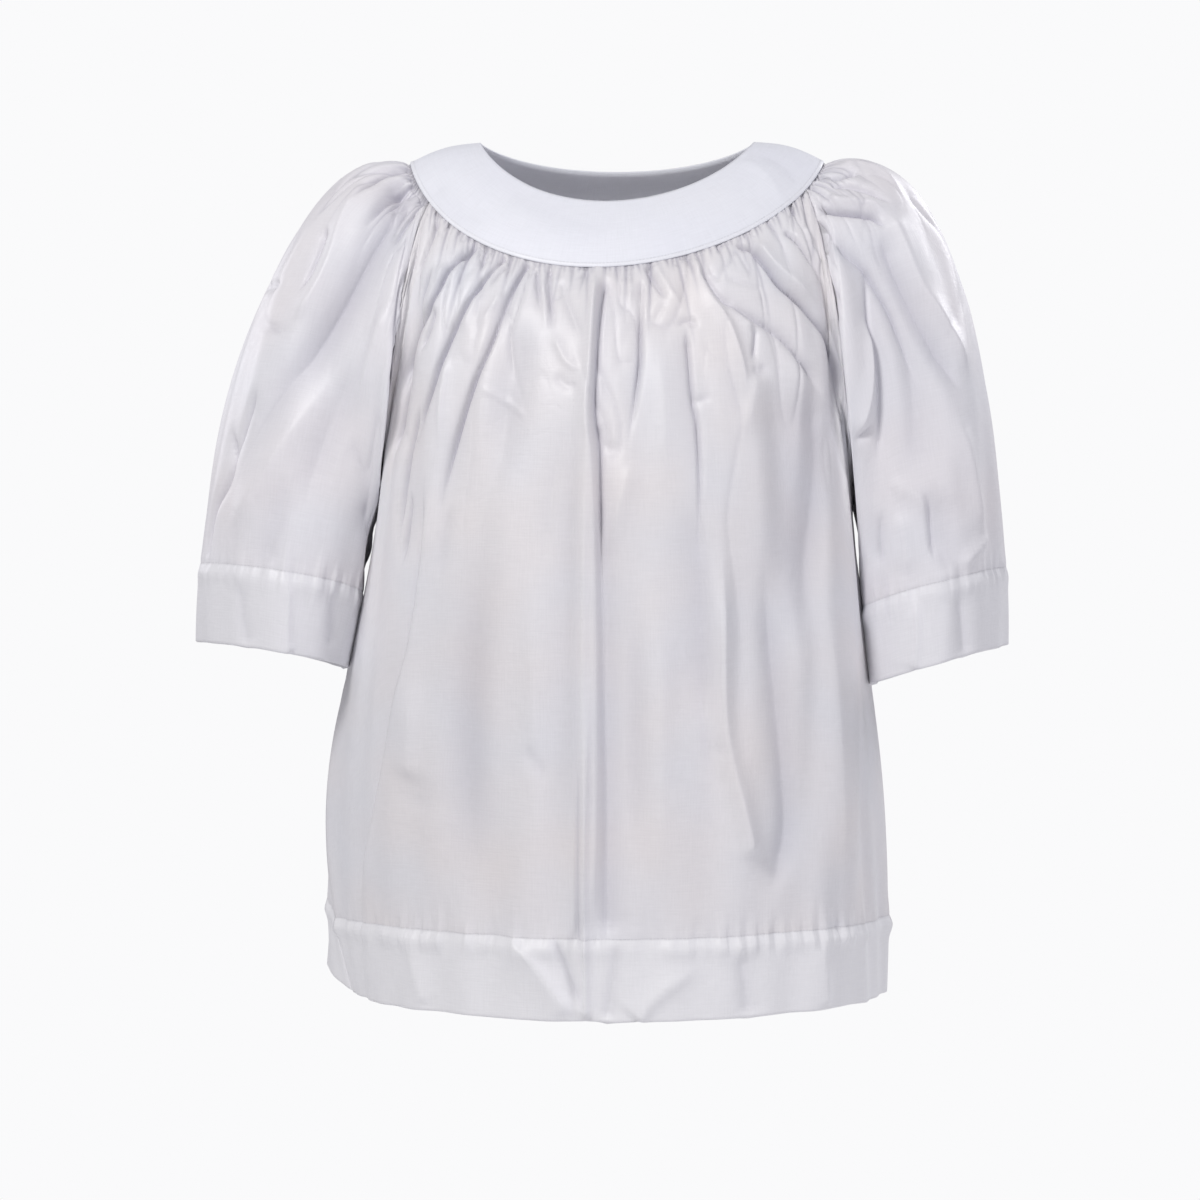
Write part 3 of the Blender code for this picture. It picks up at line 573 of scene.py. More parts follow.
# Each fold is a row: these columns, then the places (x, z) that it runs through on the front or
# the back, all in millimetres. "rise" is how far it stands out (below zero: in), "left" and
# "right" how wide it is there, seen from outside, "starts" and "ends" the shares of its length
# over which it comes and goes, "round" how round it is across, "crease" the extra depth of a sharp
# bottom and "step" the width of a step up to its right.
foldColumns = ("rise", "left", "right", "starts", "ends", "round", "crease", "step")
folds = {
    "bodyFront": {front: (
        # the long ridge down the middle, and the deep narrow valley on its right
        (5.4, 8, 6, 0.04, 0.1, 1.4, 0, 0, (-18, -92), (-19, -122), (-21, -174), (-25, -307),
         (-26, -507), (-29, -604)),
        (3.2, 9, 7, 0.05, 0.6, 1.5, 0, 0, (-18, -88), (-18, -120), (-20, -165)),
        (-4.2, 4, 9, 0.05, 0.3, 1.2, 3.8, 0, (-8, -96), (-12, -117), (-15, -150), (-18, -195),
         (-14, -225), (-13, -276), (-12, -338)),
        (-6, 6, 14, 0.2, 0.06, 1.4, 0.8, 0, (-15, -236), (-12, -320), (-10, -420), (-9, -501),
         (-10, -596)),
        (4, 2.6, 4, 0.35, 0.02, 1.3, 0, 0, (-20, -380), (-24, -450), (-25, -540), (-25, -606),
         (-25, -652)),
        (-1.4, 2.6, 2.6, 0.4, 0.1, 1.5, 2.2, 0, (-29, -440), (-30, -520), (-30, -600)),
        (3.2, 3.5, 4, 0.05, 0.1, 1.3, 0, 0, (-14, -98), (-18, -118), (-21, -152), (-24, -196),
         (-20, -226), (-19, -277), (-18, -338), (-17, -420), (-17, -501), (-20, -590)),
        (-3.4, 16, 5, 0.3, 0.3, 1.3, 0, 0, (-30, -150), (-33, -263), (-34, -420), (-34, -560)),
        # three long valleys from the gathers at the left
        (-3.2, 5, 9, 0.02, 0.35, 1.2, 5.2, 0, (-66, -79), (-80, -103), (-96, -144), (-111, -182),
         (-126, -231), (-135, -285)),
        (-3.6, 5, 7, 0.03, 0.25, 1.2, 5.4, 0, (-82, -71), (-104, -98), (-122, -130), (-135, -160),
         (-143, -186), (-159, -232)),
        (-3.8, 6, 7, 0.04, 0.15, 1.2, 5.4, 0, (-102, -61), (-124, -84), (-134, -99), (-145, -121),
         (-158, -148), (-162, -185), (-171, -232)),
        (-2, 4, 4, 0.2, 0.35, 1.5, 2.9, 0, (-139, -117), (-143, -133), (-151, -155)),
        (5.4, 6, 4, 0.2, 0.35, 1.3, 0, 0, (-130, -82), (-138, -106), (-150, -128)),
        (3.6, 4, 4, 0.2, 0.35, 1.3, 0, 0, (-118, -76), (-127, -92), (-134, -104)),
        (2.6, 3, 5, 0.2, 0.5, 1.3, 0, 0, (-126, -150), (-130, -166), (-133, -191), (-134, -235)),
        (2.4, 5, 4, 0.2, 0.35, 1.5, 0, 0, (-104, -108), (-112, -122), (-118, -138)),
        (2.2, 4, 5, 0.2, 0.35, 1.5, 0, 0, (-86, -104), (-98, -122), (-108, -134)),
        (-2.6, 4, 4, 0.1, 0.4, 1.5, 3.8, 0, (-138, -49), (-144, -68), (-154, -96)),
        (-2, 3, 3, 0.1, 0.5, 1.5, 0, 0, (-96, -79), (-112, -90), (-120, -98)),
        (-2.2, 3, 3, 0.1, 0.5, 1.5, 1.6, 0, (-84, -84), (-91, -92), (-100, -106)),
        # and the ends of two more that run down beside the arm
        (-2.6, 4, 5, 0.2, 0.3, 1.2, 4, 0, (-138, -84), (-146, -99), (-155, -136), (-161, -161),
         (-166, -188)),
        (-2.6, 4, 6, 0.2, 0.5, 1.2, 4, 0, (-149, -189), (-159, -222), (-165, -272), (-168, -308)),
        (-2.4, 4, 6, 0.3, 0.4, 1.5, 3, 0, (-158, -254), (-163, -295), (-166, -323)),
        (-2.4, 6, 5, 0.3, 0.4, 1.5, 0, 0, (-124, -262), (-130, -293), (-134, -331)),
        # short lines left of the middle, one of which ends in a bright hook
        (-2.8, 4, 3, 0.05, 0.5, 1.5, 2.6, 0, (-61, -89), (-61, -103), (-58, -126)),
        (2.2, 3, 3, 0.2, 0.35, 1.5, 0, 0, (-56, -96), (-54, -116), (-52, -140)),
        (-2.6, 3, 4, 0.05, 0.4, 1.5, 3.2, 0, (-51, -88), (-52, -110), (-48, -140)),
        (2.6, 3, 4, 0.3, 0.3, 1.3, 0, 0, (-49, -138), (-44, -150), (-38, -160), (-31, -164),
         (-27, -158)),
        (-2.4, 4, 3, 0.1, 0.4, 1.5, 0, 0, (-43, -97), (-37, -118), (-30, -134), (-25, -150)),
        (-1.8, 4, 4, 0.3, 0.3, 1.5, 0, 0, (-48, -168), (-38, -178), (-28, -176)),
        (-1.8, 8, 5, 0.4, 0.4, 1.5, 0, 0, (-40, -200), (-50, -260), (-56, -330)),
        # the crisp valley right of the middle, and the bowl at its foot
        (-3, 9, 4, 0.1, 0.5, 1.2, 4.4, 0, (17, -96), (17, -136), (16, -160), (11, -195),
         (5, -232)),
        (2.8, 5, 3, 0.3, 0.5, 1.5, 0, 0, (12, -96), (10, -108), (9, -122)),
        (-1.6, 6, 5, 0.1, 0.5, 1.5, 0.6, 0, (-17, -206), (-11, -219), (-3, -223), (6, -217)),
        (3, 5, 9, 0.2, 0.5, 1.5, 0, 0, (12, -232), (6, -246), (-2, -275), (-6, -310)),
        # the pinch beside it
        (-2.2, 3, 3, 0.05, 0.3, 1.5, 2.2, 0, (21, -88), (28, -101), (36, -115)),
        (-1.8, 3, 3, 0.2, 0.4, 1.5, 0, 0, (36, -113), (30, -122), (24, -134)),
        (2.6, 4, 4, 0.05, 0.35, 1.3, 0, 0, (27, -87), (36, -102), (44, -114), (50, -124)),
        (-2, 4, 4, 0.35, 0.4, 1.5, 1.6, 0, (43, -134), (52, -128), (62, -134)),
        (-2.8, 9, 4, 0.1, 0.6, 1.2, 3, 0, (50, -130), (52, -153), (56, -187), (59, -210),
         (61, -260), (62, -330)),
        (-1.5, 4, 4, 0.3, 0.5, 1.5, 1, 0, (56, -193), (62, -187), (72, -184)),
        (2.6, 8, 8, 0.3, 0.5, 1.5, 0, 0, (30, -140), (33, -200), (32, -270)),
        (-5.5, 18, 7, 0.3, 0.3, 1.4, 0, 0, (60, -250), (63, -330), (66, -440)),
        # two ridges that fan out to the right, and the dark valley above them
        (5, 6, 4, 0.1, 0.3, 1.3, 0, 0, (56, -81), (62, -95), (70, -112), (80, -128), (88, -148),
         (93, -170), (92, -190)),
        (3.4, 4, 4, 0.3, 0.2, 1.5, 0, 0, (81, -114), (92, -126), (102, -136)),
        (-2, 3, 4, 0.2, 0.35, 1.5, 1.9, 0, (103, -132), (103, -144), (100, -160)),
        (-2, 4, 4, 0.3, 0.3, 1.5, 0, 0, (98, -164), (106, -166), (112, -160)),
        (-4.4, 5, 7, 0.05, 0.2, 1.3, 2.2, 0, (63, -89), (74, -108), (88, -119), (104, -129),
         (122, -140), (140, -160), (158, -186)),
        (-1.8, 3, 3, 0.2, 0.35, 1.5, 0, 0, (80, -95), (98, -101), (116, -104)),
        (2.8, 6, 10, 0.2, 0.4, 1.5, 0, 0, (104, -166), (98, -190), (89, -222)),
        # the big sweep from the yoke round to the arm, with a shining crest beside it
        (-4.6, 6, 6, 0.04, 0.2, 1.2, 4.5, 0, (88, -70), (101, -72), (110, -83), (122, -100),
         (136, -112), (150, -127), (161, -145), (168, -175), (170, -205)),
        (6, 4, 7, 0.15, 0.4, 1.3, 0, 0, (102, -66), (118, -86), (136, -103), (152, -120)),
        (-2.8, 4, 3, 0.1, 0.3, 1.5, 2.9, 0, (126, -60), (137, -67), (143, -76), (152, -92)),
        (3, 3, 4, 0.2, 0.3, 1.3, 0, 0, (140, -54), (148, -72), (158, -90)),
        # the broad hollow below the sweep
        (-9, 40, 16, 0.2, 0.45, 2, 0, 0, (140, -158), (150, -210), (148, -270), (140, -330),
         (132, -400)),
        # the right of the skirt: a long crest that ends in a drop, and the valley round it
        (9, 7, 9, 0.3, 0.06, 1.5, 0, 0, (76, -290), (77, -393), (80, -444), (91, -495),
         (101, -536)),
        (1.8, 5, 5, 0.3, 0.3, 1.5, 0, 0, (92, -516), (100, -534), (108, -528)),
        (-7, 12, 12, 0.3, 0.15, 1.5, 0, 0, (110, -300), (119, -395), (125, -460), (127, -516),
         (114, -566)),
        (-2, 5, 5, 0.3, 0.4, 1.5, 0, 0, (63, -395), (66, -440), (74, -480)),
        (-1.4, 3, 3, 0.3, 0.3, 1.5, 0, 0, (68, -446), (75, -450), (82, -446)),
        (6, 18, 22, 0.4, 0.3, 1.5, 0, 0, (152, -290), (164, -420), (174, -590)),
        # the long crisp edge down the left side, and the soft drop beside it
        (4.6, 14, 26, 0.15, 0.15, 1.2, 2, 2.2, (-143, -240), (-151, -309), (-160, -370),
         (-172, -420), (-184, -480), (-194, -535), (-203, -592)),
        (-1.8, 3.4, 3.4, 0.2, 0.35, 1.8, 3.4, 0, (-142, -250), (-150, -309), (-159, -370),
         (-171, -420), (-183, -480), (-191, -520), (-197, -552)),
        (5.5, 14, 16, 0.5, 0.12, 1.5, 0, 0, (-153, -390), (-156, -436), (-158, -478)),
        (-1.1, 5, 12, 0.3, 0.5, 1.5, 0, 0, (-176, -488), (-152, -493), (-118, -502)),
        (-6, 20, 20, 0.4, 0.4, 1.5, 0, 0, (-98, -270), (-112, -420), (-112, -590)),
        (6, 20, 16, 0.4, 0.3, 1.5, 0, 0, (-66, -270), (-62, -440), (-58, -590)),
        (-2, 6, 5, 0.2, 0.35, 1.5, 0, 0, (-72, -446), (-61, -456), (-52, -474)),
        (6, 14, 18, 0.4, 0.3, 1.5, 0, 0, (28, -290), (32, -400), (30, -590)),
        (-3.5, 10, 10, 0.4, 0.4, 1.5, 0, 0, (10, -300), (12, -420), (10, -560)),
        (-4.5, 16, 20, 0.25, 0.5, 2, 0, 0, (-74, -118), (-80, -160), (-86, -205), (-88, -270)),
        # a crease left by pressing
        (1.4, 1.8, 1.8, 0.2, 0.2, 1.5, 0, 0, (-106, -177), (-88, -187), (-67, -202)),
        # creases across the hem
        (6.5, 13, 4, 0.25, 0.15, 1.3, 0, 0, (-84, -588), (-60, -614), (-34, -650)),
        (-3.4, 4, 4, 0.2, 0.25, 1.5, 1, 0, (-48, -590), (-40, -612), (-28, -644)),
        (3.6, 4, 5, 0.2, 0.05, 1.2, 0, 0, (-26, -580), (-24, -622), (-24, -650)),
        (-3.6, 5, 6, 0.2, 0.05, 1.2, 0, 0, (0, -590), (-5, -625), (-9, -650)),
        (5.6, 6, 12, 0.05, 0.5, 1.3, 0, 0, (14, -654), (30, -632), (62, -612)),
        (-2.8, 8, 8, 0.3, 0.05, 1.5, 0, 0, (90, -600), (96, -628), (98, -652)),
        (2.6, 8, 8, 0.3, 0.05, 1.5, 0, 0, (150, -600), (156, -626), (158, -652)),
        (2.8, 7, 9, 0.3, 0.05, 1.5, 0, 0, (-160, -590), (-154, -620), (-146, -650)),
    )},
    "bodyBack": {back: (
        # the long ridge down the middle, and the narrow valley beside it
        (6, 10, 8, 0.08, 0.15, 1.5, 0, 0, (16, -60), (20, -180), (24, -320), (18, -480),
         (14, -610)),
        (-5, 10, 5, 0.05, 0.2, 1.2, 4, 0, (6, -66), (8, -130), (12, -200), (13, -330), (8, -480),
         (4, -600)),
        # valleys that fan out from the gathers
        (-4, 9, 6, 0.04, 0.4, 1.2, 4.5, 0, (74, -64), (92, -110), (108, -160), (120, -230),
         (126, -320)),
        (-4, 8, 6, 0.05, 0.35, 1.2, 4.5, 0, (100, -52), (122, -90), (140, -135), (152, -190),
         (158, -240)),
        (-3, 5, 4, 0.1, 0.4, 1.5, 3.5, 0, (118, -40), (142, -70), (158, -110), (164, -150)),
        (-4.2, 6, 10, 0.04, 0.4, 1.2, 4.5, 0, (-68, -64), (-88, -112), (-102, -165), (-116, -240),
         (-120, -340)),
        (-4, 6, 8, 0.05, 0.35, 1.2, 4.5, 0, (-104, -50), (-128, -92), (-146, -145), (-156, -200),
         (-160, -260)),
        (-3, 4, 5, 0.1, 0.4, 1.5, 3.5, 0, (-122, -40), (-146, -76), (-158, -120), (-166, -160)),
        (-3.6, 5, 9, 0.05, 0.4, 1.2, 3.8, 0, (-28, -62), (-30, -110), (-38, -165), (-40, -230)),
        (-3.4, 9, 4, 0.05, 0.4, 1.2, 3.8, 0, (44, -62), (50, -100), (58, -150), (60, -205)),
        (-2.6, 4, 3, 0.2, 0.35, 1.5, 2.4, 0, (-8, -62), (-10, -92), (-6, -130)),
        (3.2, 4, 5, 0.2, 0.35, 1.5, 0, 0, (-86, -58), (-100, -84), (-110, -112)),
        (3.4, 5, 6, 0.2, 0.35, 1.4, 0, 0, (34, -58), (36, -96), (32, -136)),
        (3.6, 6, 5, 0.2, 0.35, 1.4, 0, 0, (-50, -62), (-58, -100), (-60, -140)),
        (3.4, 5, 4, 0.2, 0.35, 1.3, 0, 0, (88, -56), (104, -86), (116, -120)),
        # the soft folds of the skirt
        (7, 12, 18, 0.3, 0.15, 1.6, 0, 0, (-48, -230), (-54, -340), (-62, -480), (-64, -610)),
        (-6, 18, 14, 0.4, 0.3, 1.5, 0, 0, (-90, -330), (-96, -460), (-100, -600)),
        (6, 14, 18, 0.4, 0.2, 1.5, 0, 0, (-142, -330), (-150, -460), (-154, -600)),
        (-3, 6, 10, 0.3, 0.4, 1.2, 2.4, 0, (-116, -340), (-124, -440), (-134, -560)),
        (-6, 14, 18, 0.3, 0.4, 1.5, 0, 0, (52, -260), (58, -400), (56, -520)),
        (7, 16, 12, 0.4, 0.12, 1.6, 0, 0, (96, -330), (102, -450), (106, -600)),
        (-6, 14, 18, 0.4, 0.4, 1.5, 0, 0, (148, -280), (156, -400), (160, -560)),
        (-3, 10, 6, 0.3, 0.4, 1.2, 2.4, 0, (124, -320), (134, -430), (140, -560)),
        # creases across the hem
        (3.2, 5, 6, 0.3, 0.1, 1.2, 0, 0, (30, -600), (22, -630), (10, -662)),
        (-2.8, 6, 5, 0.3, 0.1, 1.2, 0, 0, (-90, -604), (-84, -634), (-82, -662)),
        (2.6, 6, 8, 0.3, 0.05, 1.5, 0, 0, (106, -604), (112, -636), (112, -664)),
        (2.4, 5, 4, 0.3, 0.1, 1.5, 0, 0, (-34, -604), (-30, -634), (-24, -664)),
    )},
    "sleeveLeft": {front: (
        # the broad trough from the shoulder to the outside of the elbow, and the crest beside it
        (-10, 13, 16, 0.05, 0.62, 1.7, 1.5, 0, (-163, -15), (-174, -43), (-188, -71), (-205, -104),
         (-216, -122), (-237, -155), (-259, -181), (-276, -210), (-290, -240), (-300, -268)),
        (4.5, 8, 7, 0.1, 0.15, 1.3, 0, 0, (-193, -18), (-211, -45), (-221, -77), (-232, -103),
         (-243, -120), (-253, -128)),
        (-4.5, 7, 6, 0.2, 0.35, 1.5, 2, 0, (-225, -51), (-235, -81), (-247, -110)),
        # short creases at its outer edge
        (-3.5, 3.5, 3.5, 0.2, 0.4, 1.5, 2.5, 0, (-278, -100), (-267, -98), (-257, -98)),
        (-3, 4.5, 5, 0.3, 0.5, 1.5, 1, 0, (-280, -122), (-262, -134), (-246, -132)),
        (-4, 6, 8, 0.3, 0.4, 1.5, 1.5, 0, (-276, -175), (-288, -205), (-301, -240)),
        (-4.5, 5, 5, 0.2, 0.2, 1.5, 2.5, 0, (-302, -208), (-301, -240), (-315, -275),
         (-321, -316)),
        # lines that start at the yoke
        (-4, 4, 5, 0.1, 0.4, 1.5, 3, 0, (-160, -18), (-181, -31), (-198, -60)),
        (-3.5, 4, 4, 0.1, 0.4, 1.5, 3, 0, (-149, -38), (-157, -43), (-168, -57), (-176, -75)),
        (3.2, 3, 3, 0.2, 0.35, 1.5, 0, 0, (-161, -26), (-169, -38), (-177, -52)),
        (-3.5, 4, 5, 0.1, 0.4, 1.5, 2.5, 0, (-166, -8), (-182, -11), (-196, -23), (-208, -38)),
        # a second line beside the raglan seam
        (-2.5, 4, 3, 0.2, 0.3, 1.2, 3, 0, (-160, -83), (-165, -103), (-169, -132), (-174, -172),
         (-178, -200), (-183, -236)),
        (5, 8, 10, 0.3, 0.4, 1.5, 0, 0, (-167, -101), (-181, -139), (-193, -173), (-208, -206)),
        (5, 12, 12, 0.4, 0.25, 1.5, 0, 0, (-212, -165), (-230, -188), (-259, -226), (-281, -261),
         (-302, -293)),
        (-4.5, 12, 12, 0.3, 0.4, 1.5, 0, 0, (-196, -150), (-215, -195), (-232, -240),
         (-246, -285)),
        (-4, 14, 12, 0.4, 0.3, 1.5, 0, 0, (-250, -240), (-264, -290), (-276, -330)),
        (-5, 8, 12, 0.3, 0.3, 1.4, 1, 0, (-186, -220), (-194, -275), (-206, -340)),
        # the inside of the sleeve leans on the body
        (5.5, 14, 14, 0.3, 0.25, 1.5, 0, 0, (-184, -225), (-188, -255), (-194, -280), (-200, -305),
         (-208, -340)),
        # creases across the cuff
        (3.2, 9, 3, 0.3, 0.05, 1.2, 0, 0, (-252, -318), (-253, -342), (-254, -374), (-254, -396)),
        (-2.6, 6, 8, 0.3, 0.1, 1.5, 0, 0, (-222, -326), (-220, -350), (-223, -378)),
        (-2.2, 6, 8, 0.3, 0.1, 1.5, 0, 0, (-292, -325), (-290, -355), (-287, -390)),
    ), back: (
        (-8, 10, 9, 0.08, 0.45, 1.5, 2, 0, (-170, -30), (-196, -62), (-216, -100), (-232, -150),
         (-244, -200)),
        (-4, 5, 4, 0.1, 0.4, 1.5, 3, 0, (-162, -48), (-178, -80), (-190, -118), (-196, -160)),
        (-4, 4, 5, 0.1, 0.4, 1.5, 3, 0, (-160, -16), (-186, -30), (-206, -56)),
        (5.2, 10, 9, 0.15, 0.5, 1.5, 0, 0, (-168, -58), (-184, -100), (-204, -150), (-222, -200)),
        (5.5, 10, 9, 0.3, 0.3, 1.5, 0, 0, (-222, -60), (-250, -110), (-276, -170), (-292, -240)),
        (-4, 6, 5, 0.2, 0.4, 1.5, 2, 0, (-240, -70), (-262, -120), (-280, -170)),
        (-5, 12, 9, 0.35, 0.3, 1.5, 1, 0, (-196, -200), (-212, -270), (-222, -340)),
        (4.5, 12, 12, 0.4, 0.3, 1.5, 0, 0, (-250, -230), (-262, -300), (-264, -350)),
    )},
    "sleeveRight": {front: (
        # the deep line that runs out from the yoke, with a crest above it
        (-7, 3.5, 6, 0.08, 0.25, 1.2, 4, 0, (152, -41), (164, -42), (182, -45), (195, -46),
         (207, -57)),
        (3.5, 5, 4, 0.15, 0.4, 1.4, 0, 0, (158, -33), (175, -34), (195, -36), (212, -48)),
        (-4, 4, 5, 0.2, 0.35, 1.5, 2.5, 0, (164, -15), (177, -13), (189, -8)),
        (-3.2, 4, 4, 0.1, 0.4, 1.5, 2, 0, (164, -22), (180, -22), (197, -28), (215, -38)),
        (4, 6, 6, 0.2, 0.4, 1.5, 0, 0, (173, -7), (191, -4), (208, -13), (224, -33)),
        (-5.5, 9, 7, 0.08, 0.4, 1.4, 2.5, 0, (152, -50), (158, -61), (175, -74), (190, -90),
         (207, -118), (218, -141), (228, -165), (238, -187)),
        # the long valley and crest towards the outside of the elbow
        (-6.5, 13, 8, 0.15, 0.3, 1.6, 1, 0, (200, -55), (210, -82), (224, -110), (241, -140),
         (255, -165), (268, -190)),
        (5.5, 5, 10, 0.1, 0.2, 1.4, 0, 0, (208, -42), (221, -73), (233, -104), (255, -137),
         (273, -171)),
        # the folds beside the raglan seam, the nearer of them with a short line across it
        (-3.6, 5, 9, 0.15, 0.3, 1.3, 1.8, 0, (191, -83), (191, -126), (198, -160), (200, -189),
         (200, -218), (198, -246)),
        (5, 7, 5, 0.25, 0.15, 1.3, 0, 0, (186, -123), (191, -148), (190, -183), (181, -217)),
        (-2.2, 4, 4.5, 0.4, 0.45, 1.5, 1, 0, (176, -219), (188, -213), (198, -204)),
        # the pocket above the cuff
        (3.2, 7, 6, 0.3, 0.5, 1.5, 0, 0, (207, -258), (216, -256), (225, -259), (233, -268),
         (236, -284)),
        (-4.6, 5, 12, 0.4, 0.3, 1.5, 0.8, 0, (230, -252), (239, -266), (242, -287), (244, -316)),
        (-2.6, 9, 5, 0.4, 0.3, 1.5, 0.8, 0, (205, -268), (201, -290), (203, -320)),
        (-3.6, 10, 12, 0.4, 0.2, 1.5, 0, 0, (252, -255), (250, -290), (253, -322)),
        (3.5, 8, 8, 0.3, 0.3, 1.5, 0, 0, (216, -270), (222, -298), (223, -325)),
        (-3.5, 4, 4, 0.3, 0.2, 1.5, 2, 0, (193, -288), (198, -318)),
        (4, 5, 6, 0.3, 0.3, 1.5, 0, 0, (262, -318), (276, -306), (293, -294)),
        (-4, 12, 14, 0.3, 0.3, 1.5, 0, 0, (221, -135), (228, -182), (228, -226), (222, -252)),
        (4.5, 12, 9, 0.35, 0.3, 1.5, 0, 0, (255, -186), (268, -222), (277, -262), (286, -305)),
        # creases across the cuff
        (3, 8, 3, 0.3, 0.05, 1.2, 0, 0, (230, -338), (231, -371), (232, -400)),
        (-2.4, 7, 7, 0.3, 0.1, 1.5, 0, 0, (262, -330), (266, -360), (270, -390)),
    ), back: (
        (-8, 9, 10, 0.08, 0.45, 1.5, 2, 0, (164, -34), (190, -66), (210, -105), (226, -150),
         (238, -205)),
        (-4, 4, 5, 0.1, 0.4, 1.5, 3, 0, (158, -52), (174, -84), (186, -124), (192, -170)),
        (-4, 5, 4, 0.1, 0.4, 1.5, 3, 0, (158, -18), (184, -32), (204, -60)),
        (5.2, 9, 10, 0.15, 0.5, 1.5, 0, 0, (162, -60), (178, -104), (196, -150), (212, -205)),
        (5.5, 9, 10, 0.3, 0.3, 1.5, 0, 0, (212, -56), (238, -104), (258, -160), (272, -230)),
        (-4, 5, 6, 0.2, 0.4, 1.5, 2, 0, (228, -66), (250, -116), (268, -170)),
        (-5, 9, 12, 0.35, 0.3, 1.5, 1, 0, (192, -196), (204, -262), (210, -340)),
        (4.5, 12, 12, 0.4, 0.3, 1.5, 0, 0, (240, -220), (250, -290), (252, -350)),
    )},
    "yokeFront": {front: (
        (-1.2, 9, 9, 0.2, 0.35, 1.5, 0, 0, (-147, -20), (-126, -40), (-98, -60)),
        (1.6, 9, 7, 0.2, 0.35, 1.5, 0, 0, (96, -2), (114, -18), (130, -42)),
        (-1.4, 8, 9, 0.2, 0.35, 1.5, 0, 0, (112, 2), (132, -14), (146, -34)),
        (-0.9, 10, 12, 0.2, 0.35, 1.5, 0, 0, (-90, -24), (-40, -52), (20, -60)),
    )},
    "yokeBack": {back: (
        (-1.2, 9, 9, 0.2, 0.35, 1.5, 0, 0, (-140, -12), (-110, -26), (-80, -38)),
        (1.3, 8, 8, 0.2, 0.35, 1.5, 0, 0, (86, -6), (104, -20), (120, -34)),
        (-0.9, 10, 10, 0.2, 0.35, 1.5, 0, 0, (-30, -20), (20, -30), (70, -26)),
    )},
}


# Where folds and gathers fade out, in metres: from the top seam, and from the side seams.
fades = {"top": 0.0016, "bodySide": 0.014, "yokeSide": 0.010,
         # close under the arm the sleeve lies smooth, up to these shares of its raglan seam
         "armShares": (0.02, 0.45), "armBelow": (0.015, 0.06),
         # beside the raglan seams the creases' painted shade is paler, as the valley is dark there
         "raglan": 0.018, "raglanPaler": 0.8}


def pieceHeight(name, piece):
    # everything that lifts a gathered piece off its smooth cloth, and how it ends at its seams
    points, below, places = piece["points"], piece["below"], piece["places"]
    seed = piece["seed"]
    spread = np.linalg.norm(acrossSteps(points, piece["closed"]), axis=2)
    metresAcross = spread / np.gradient(places)
    # the widths near the hem, where the cloth hangs ungathered
    across = np.cumsum(np.mean(spread[-grid["widthRows"]:], axis=0))[None, :]
    across = across * np.ones_like(below)
    height, paintedShade = gatherHeight(piece["kind"], seed, places[None, :], piece["ends"],
                                  metresAcross, below)
    for lifted, shadeAmount in (rippleHeight(piece["kind"], seed, places[None, :], below),
                         foldHeight(folds[name], points, piece["normals"])):
        height += lifted
        paintedShade = np.maximum(paintedShade, shadeAmount)
    height += swellHeight(across, below, seed)
    toSide = smoothStep(piece["toSide"], 0.0, fades["bodySide"])[None, :]
    height *= toSide * smoothStep(below, 0.0, fades["top"])
    paintedShade *= toSide
    if piece["closed"]:
        far = np.minimum(places, 1 - places) / raglanShare
        free = np.maximum(smoothStep(far, *fades["armShares"])[None, :],
                          smoothStep(below, *fades["armBelow"]))
        height *= free
        paintedShade *= free
        onRaglan = far < 1
    else:
        onRaglan = np.abs(places) > gatheredShare
    # paler painted shade beside the raglan seams
    beside = onRaglan[None, :] * (1 - smoothStep(below, 0.0, fades["raglan"]))
    paintedShade *= 1 - fades["raglanPaler"] * beside
    # every sewn edge is a shallow groove, and so is the line of the hem's stitches
    edge = np.minimum(below, piece["toSide"][None, :])
    height += cloth["seamDip"] * smoothStep(edge, 0.0, cloth["seamDipWide"])
    # the groove of the hem's stitches gets painted shade too
    rise, groove = hemHeight(piece["kind"], across, piece["aboveFold"], seed)
    return height + rise, np.clip(np.maximum(paintedShade, groove), 0, 1), across[0]


def yokeHeight(name, piece):
    swell = cloth["yokeSwell"] * np.sin(math.pi * piece["shares"])[:, None]
    folded, paintedShade = foldHeight(folds[name], piece["points"], piece["normals"])
    height = (swell + folded) * smoothStep(piece["toSide"], 0.0, fades["yokeSide"])[None, :]
    return height + cloth["yokeProud"], paintedShade, piece["across"]


def innerHeight(height):
    # the lowest of each point's neighbours, so that the coarser inside stays inside
    low = height.copy()
    for step in range(1, grid["insideEvery"] + 1):
        low[step:] = np.minimum(low[step:], height[:-step])
        low[:-step] = np.minimum(low[:-step], height[step:])
    return low


def sideCaps(kept, rows, columns, across, above):
    # the faces that close the shell along its two side edges, and their places on the cloth
    faces, uvs = [], []
    for column in (0, columns - 1):
        # down the outside and up the inside, and at last round the lower edge
        rings = [([*range(upper, lower + 1), rows + 1 + k, rows + 2 + k], above[upper, column])
                 for k, (lower, upper) in enumerate(zip(kept[:-1], kept[1:]))]
        rings.append(([rows - 1, rows, rows + 1], above[-1, column]))
        for ring, height in rings:
            face = [row * columns + column for row in ring]
            faces.append(face if column else face[::-1])
            uvs += [(across[column], height)] * len(ring)
    return faces, uvs


hemRound = 0.45      # how far the rounded lower edge stands out, for each metre of its wall


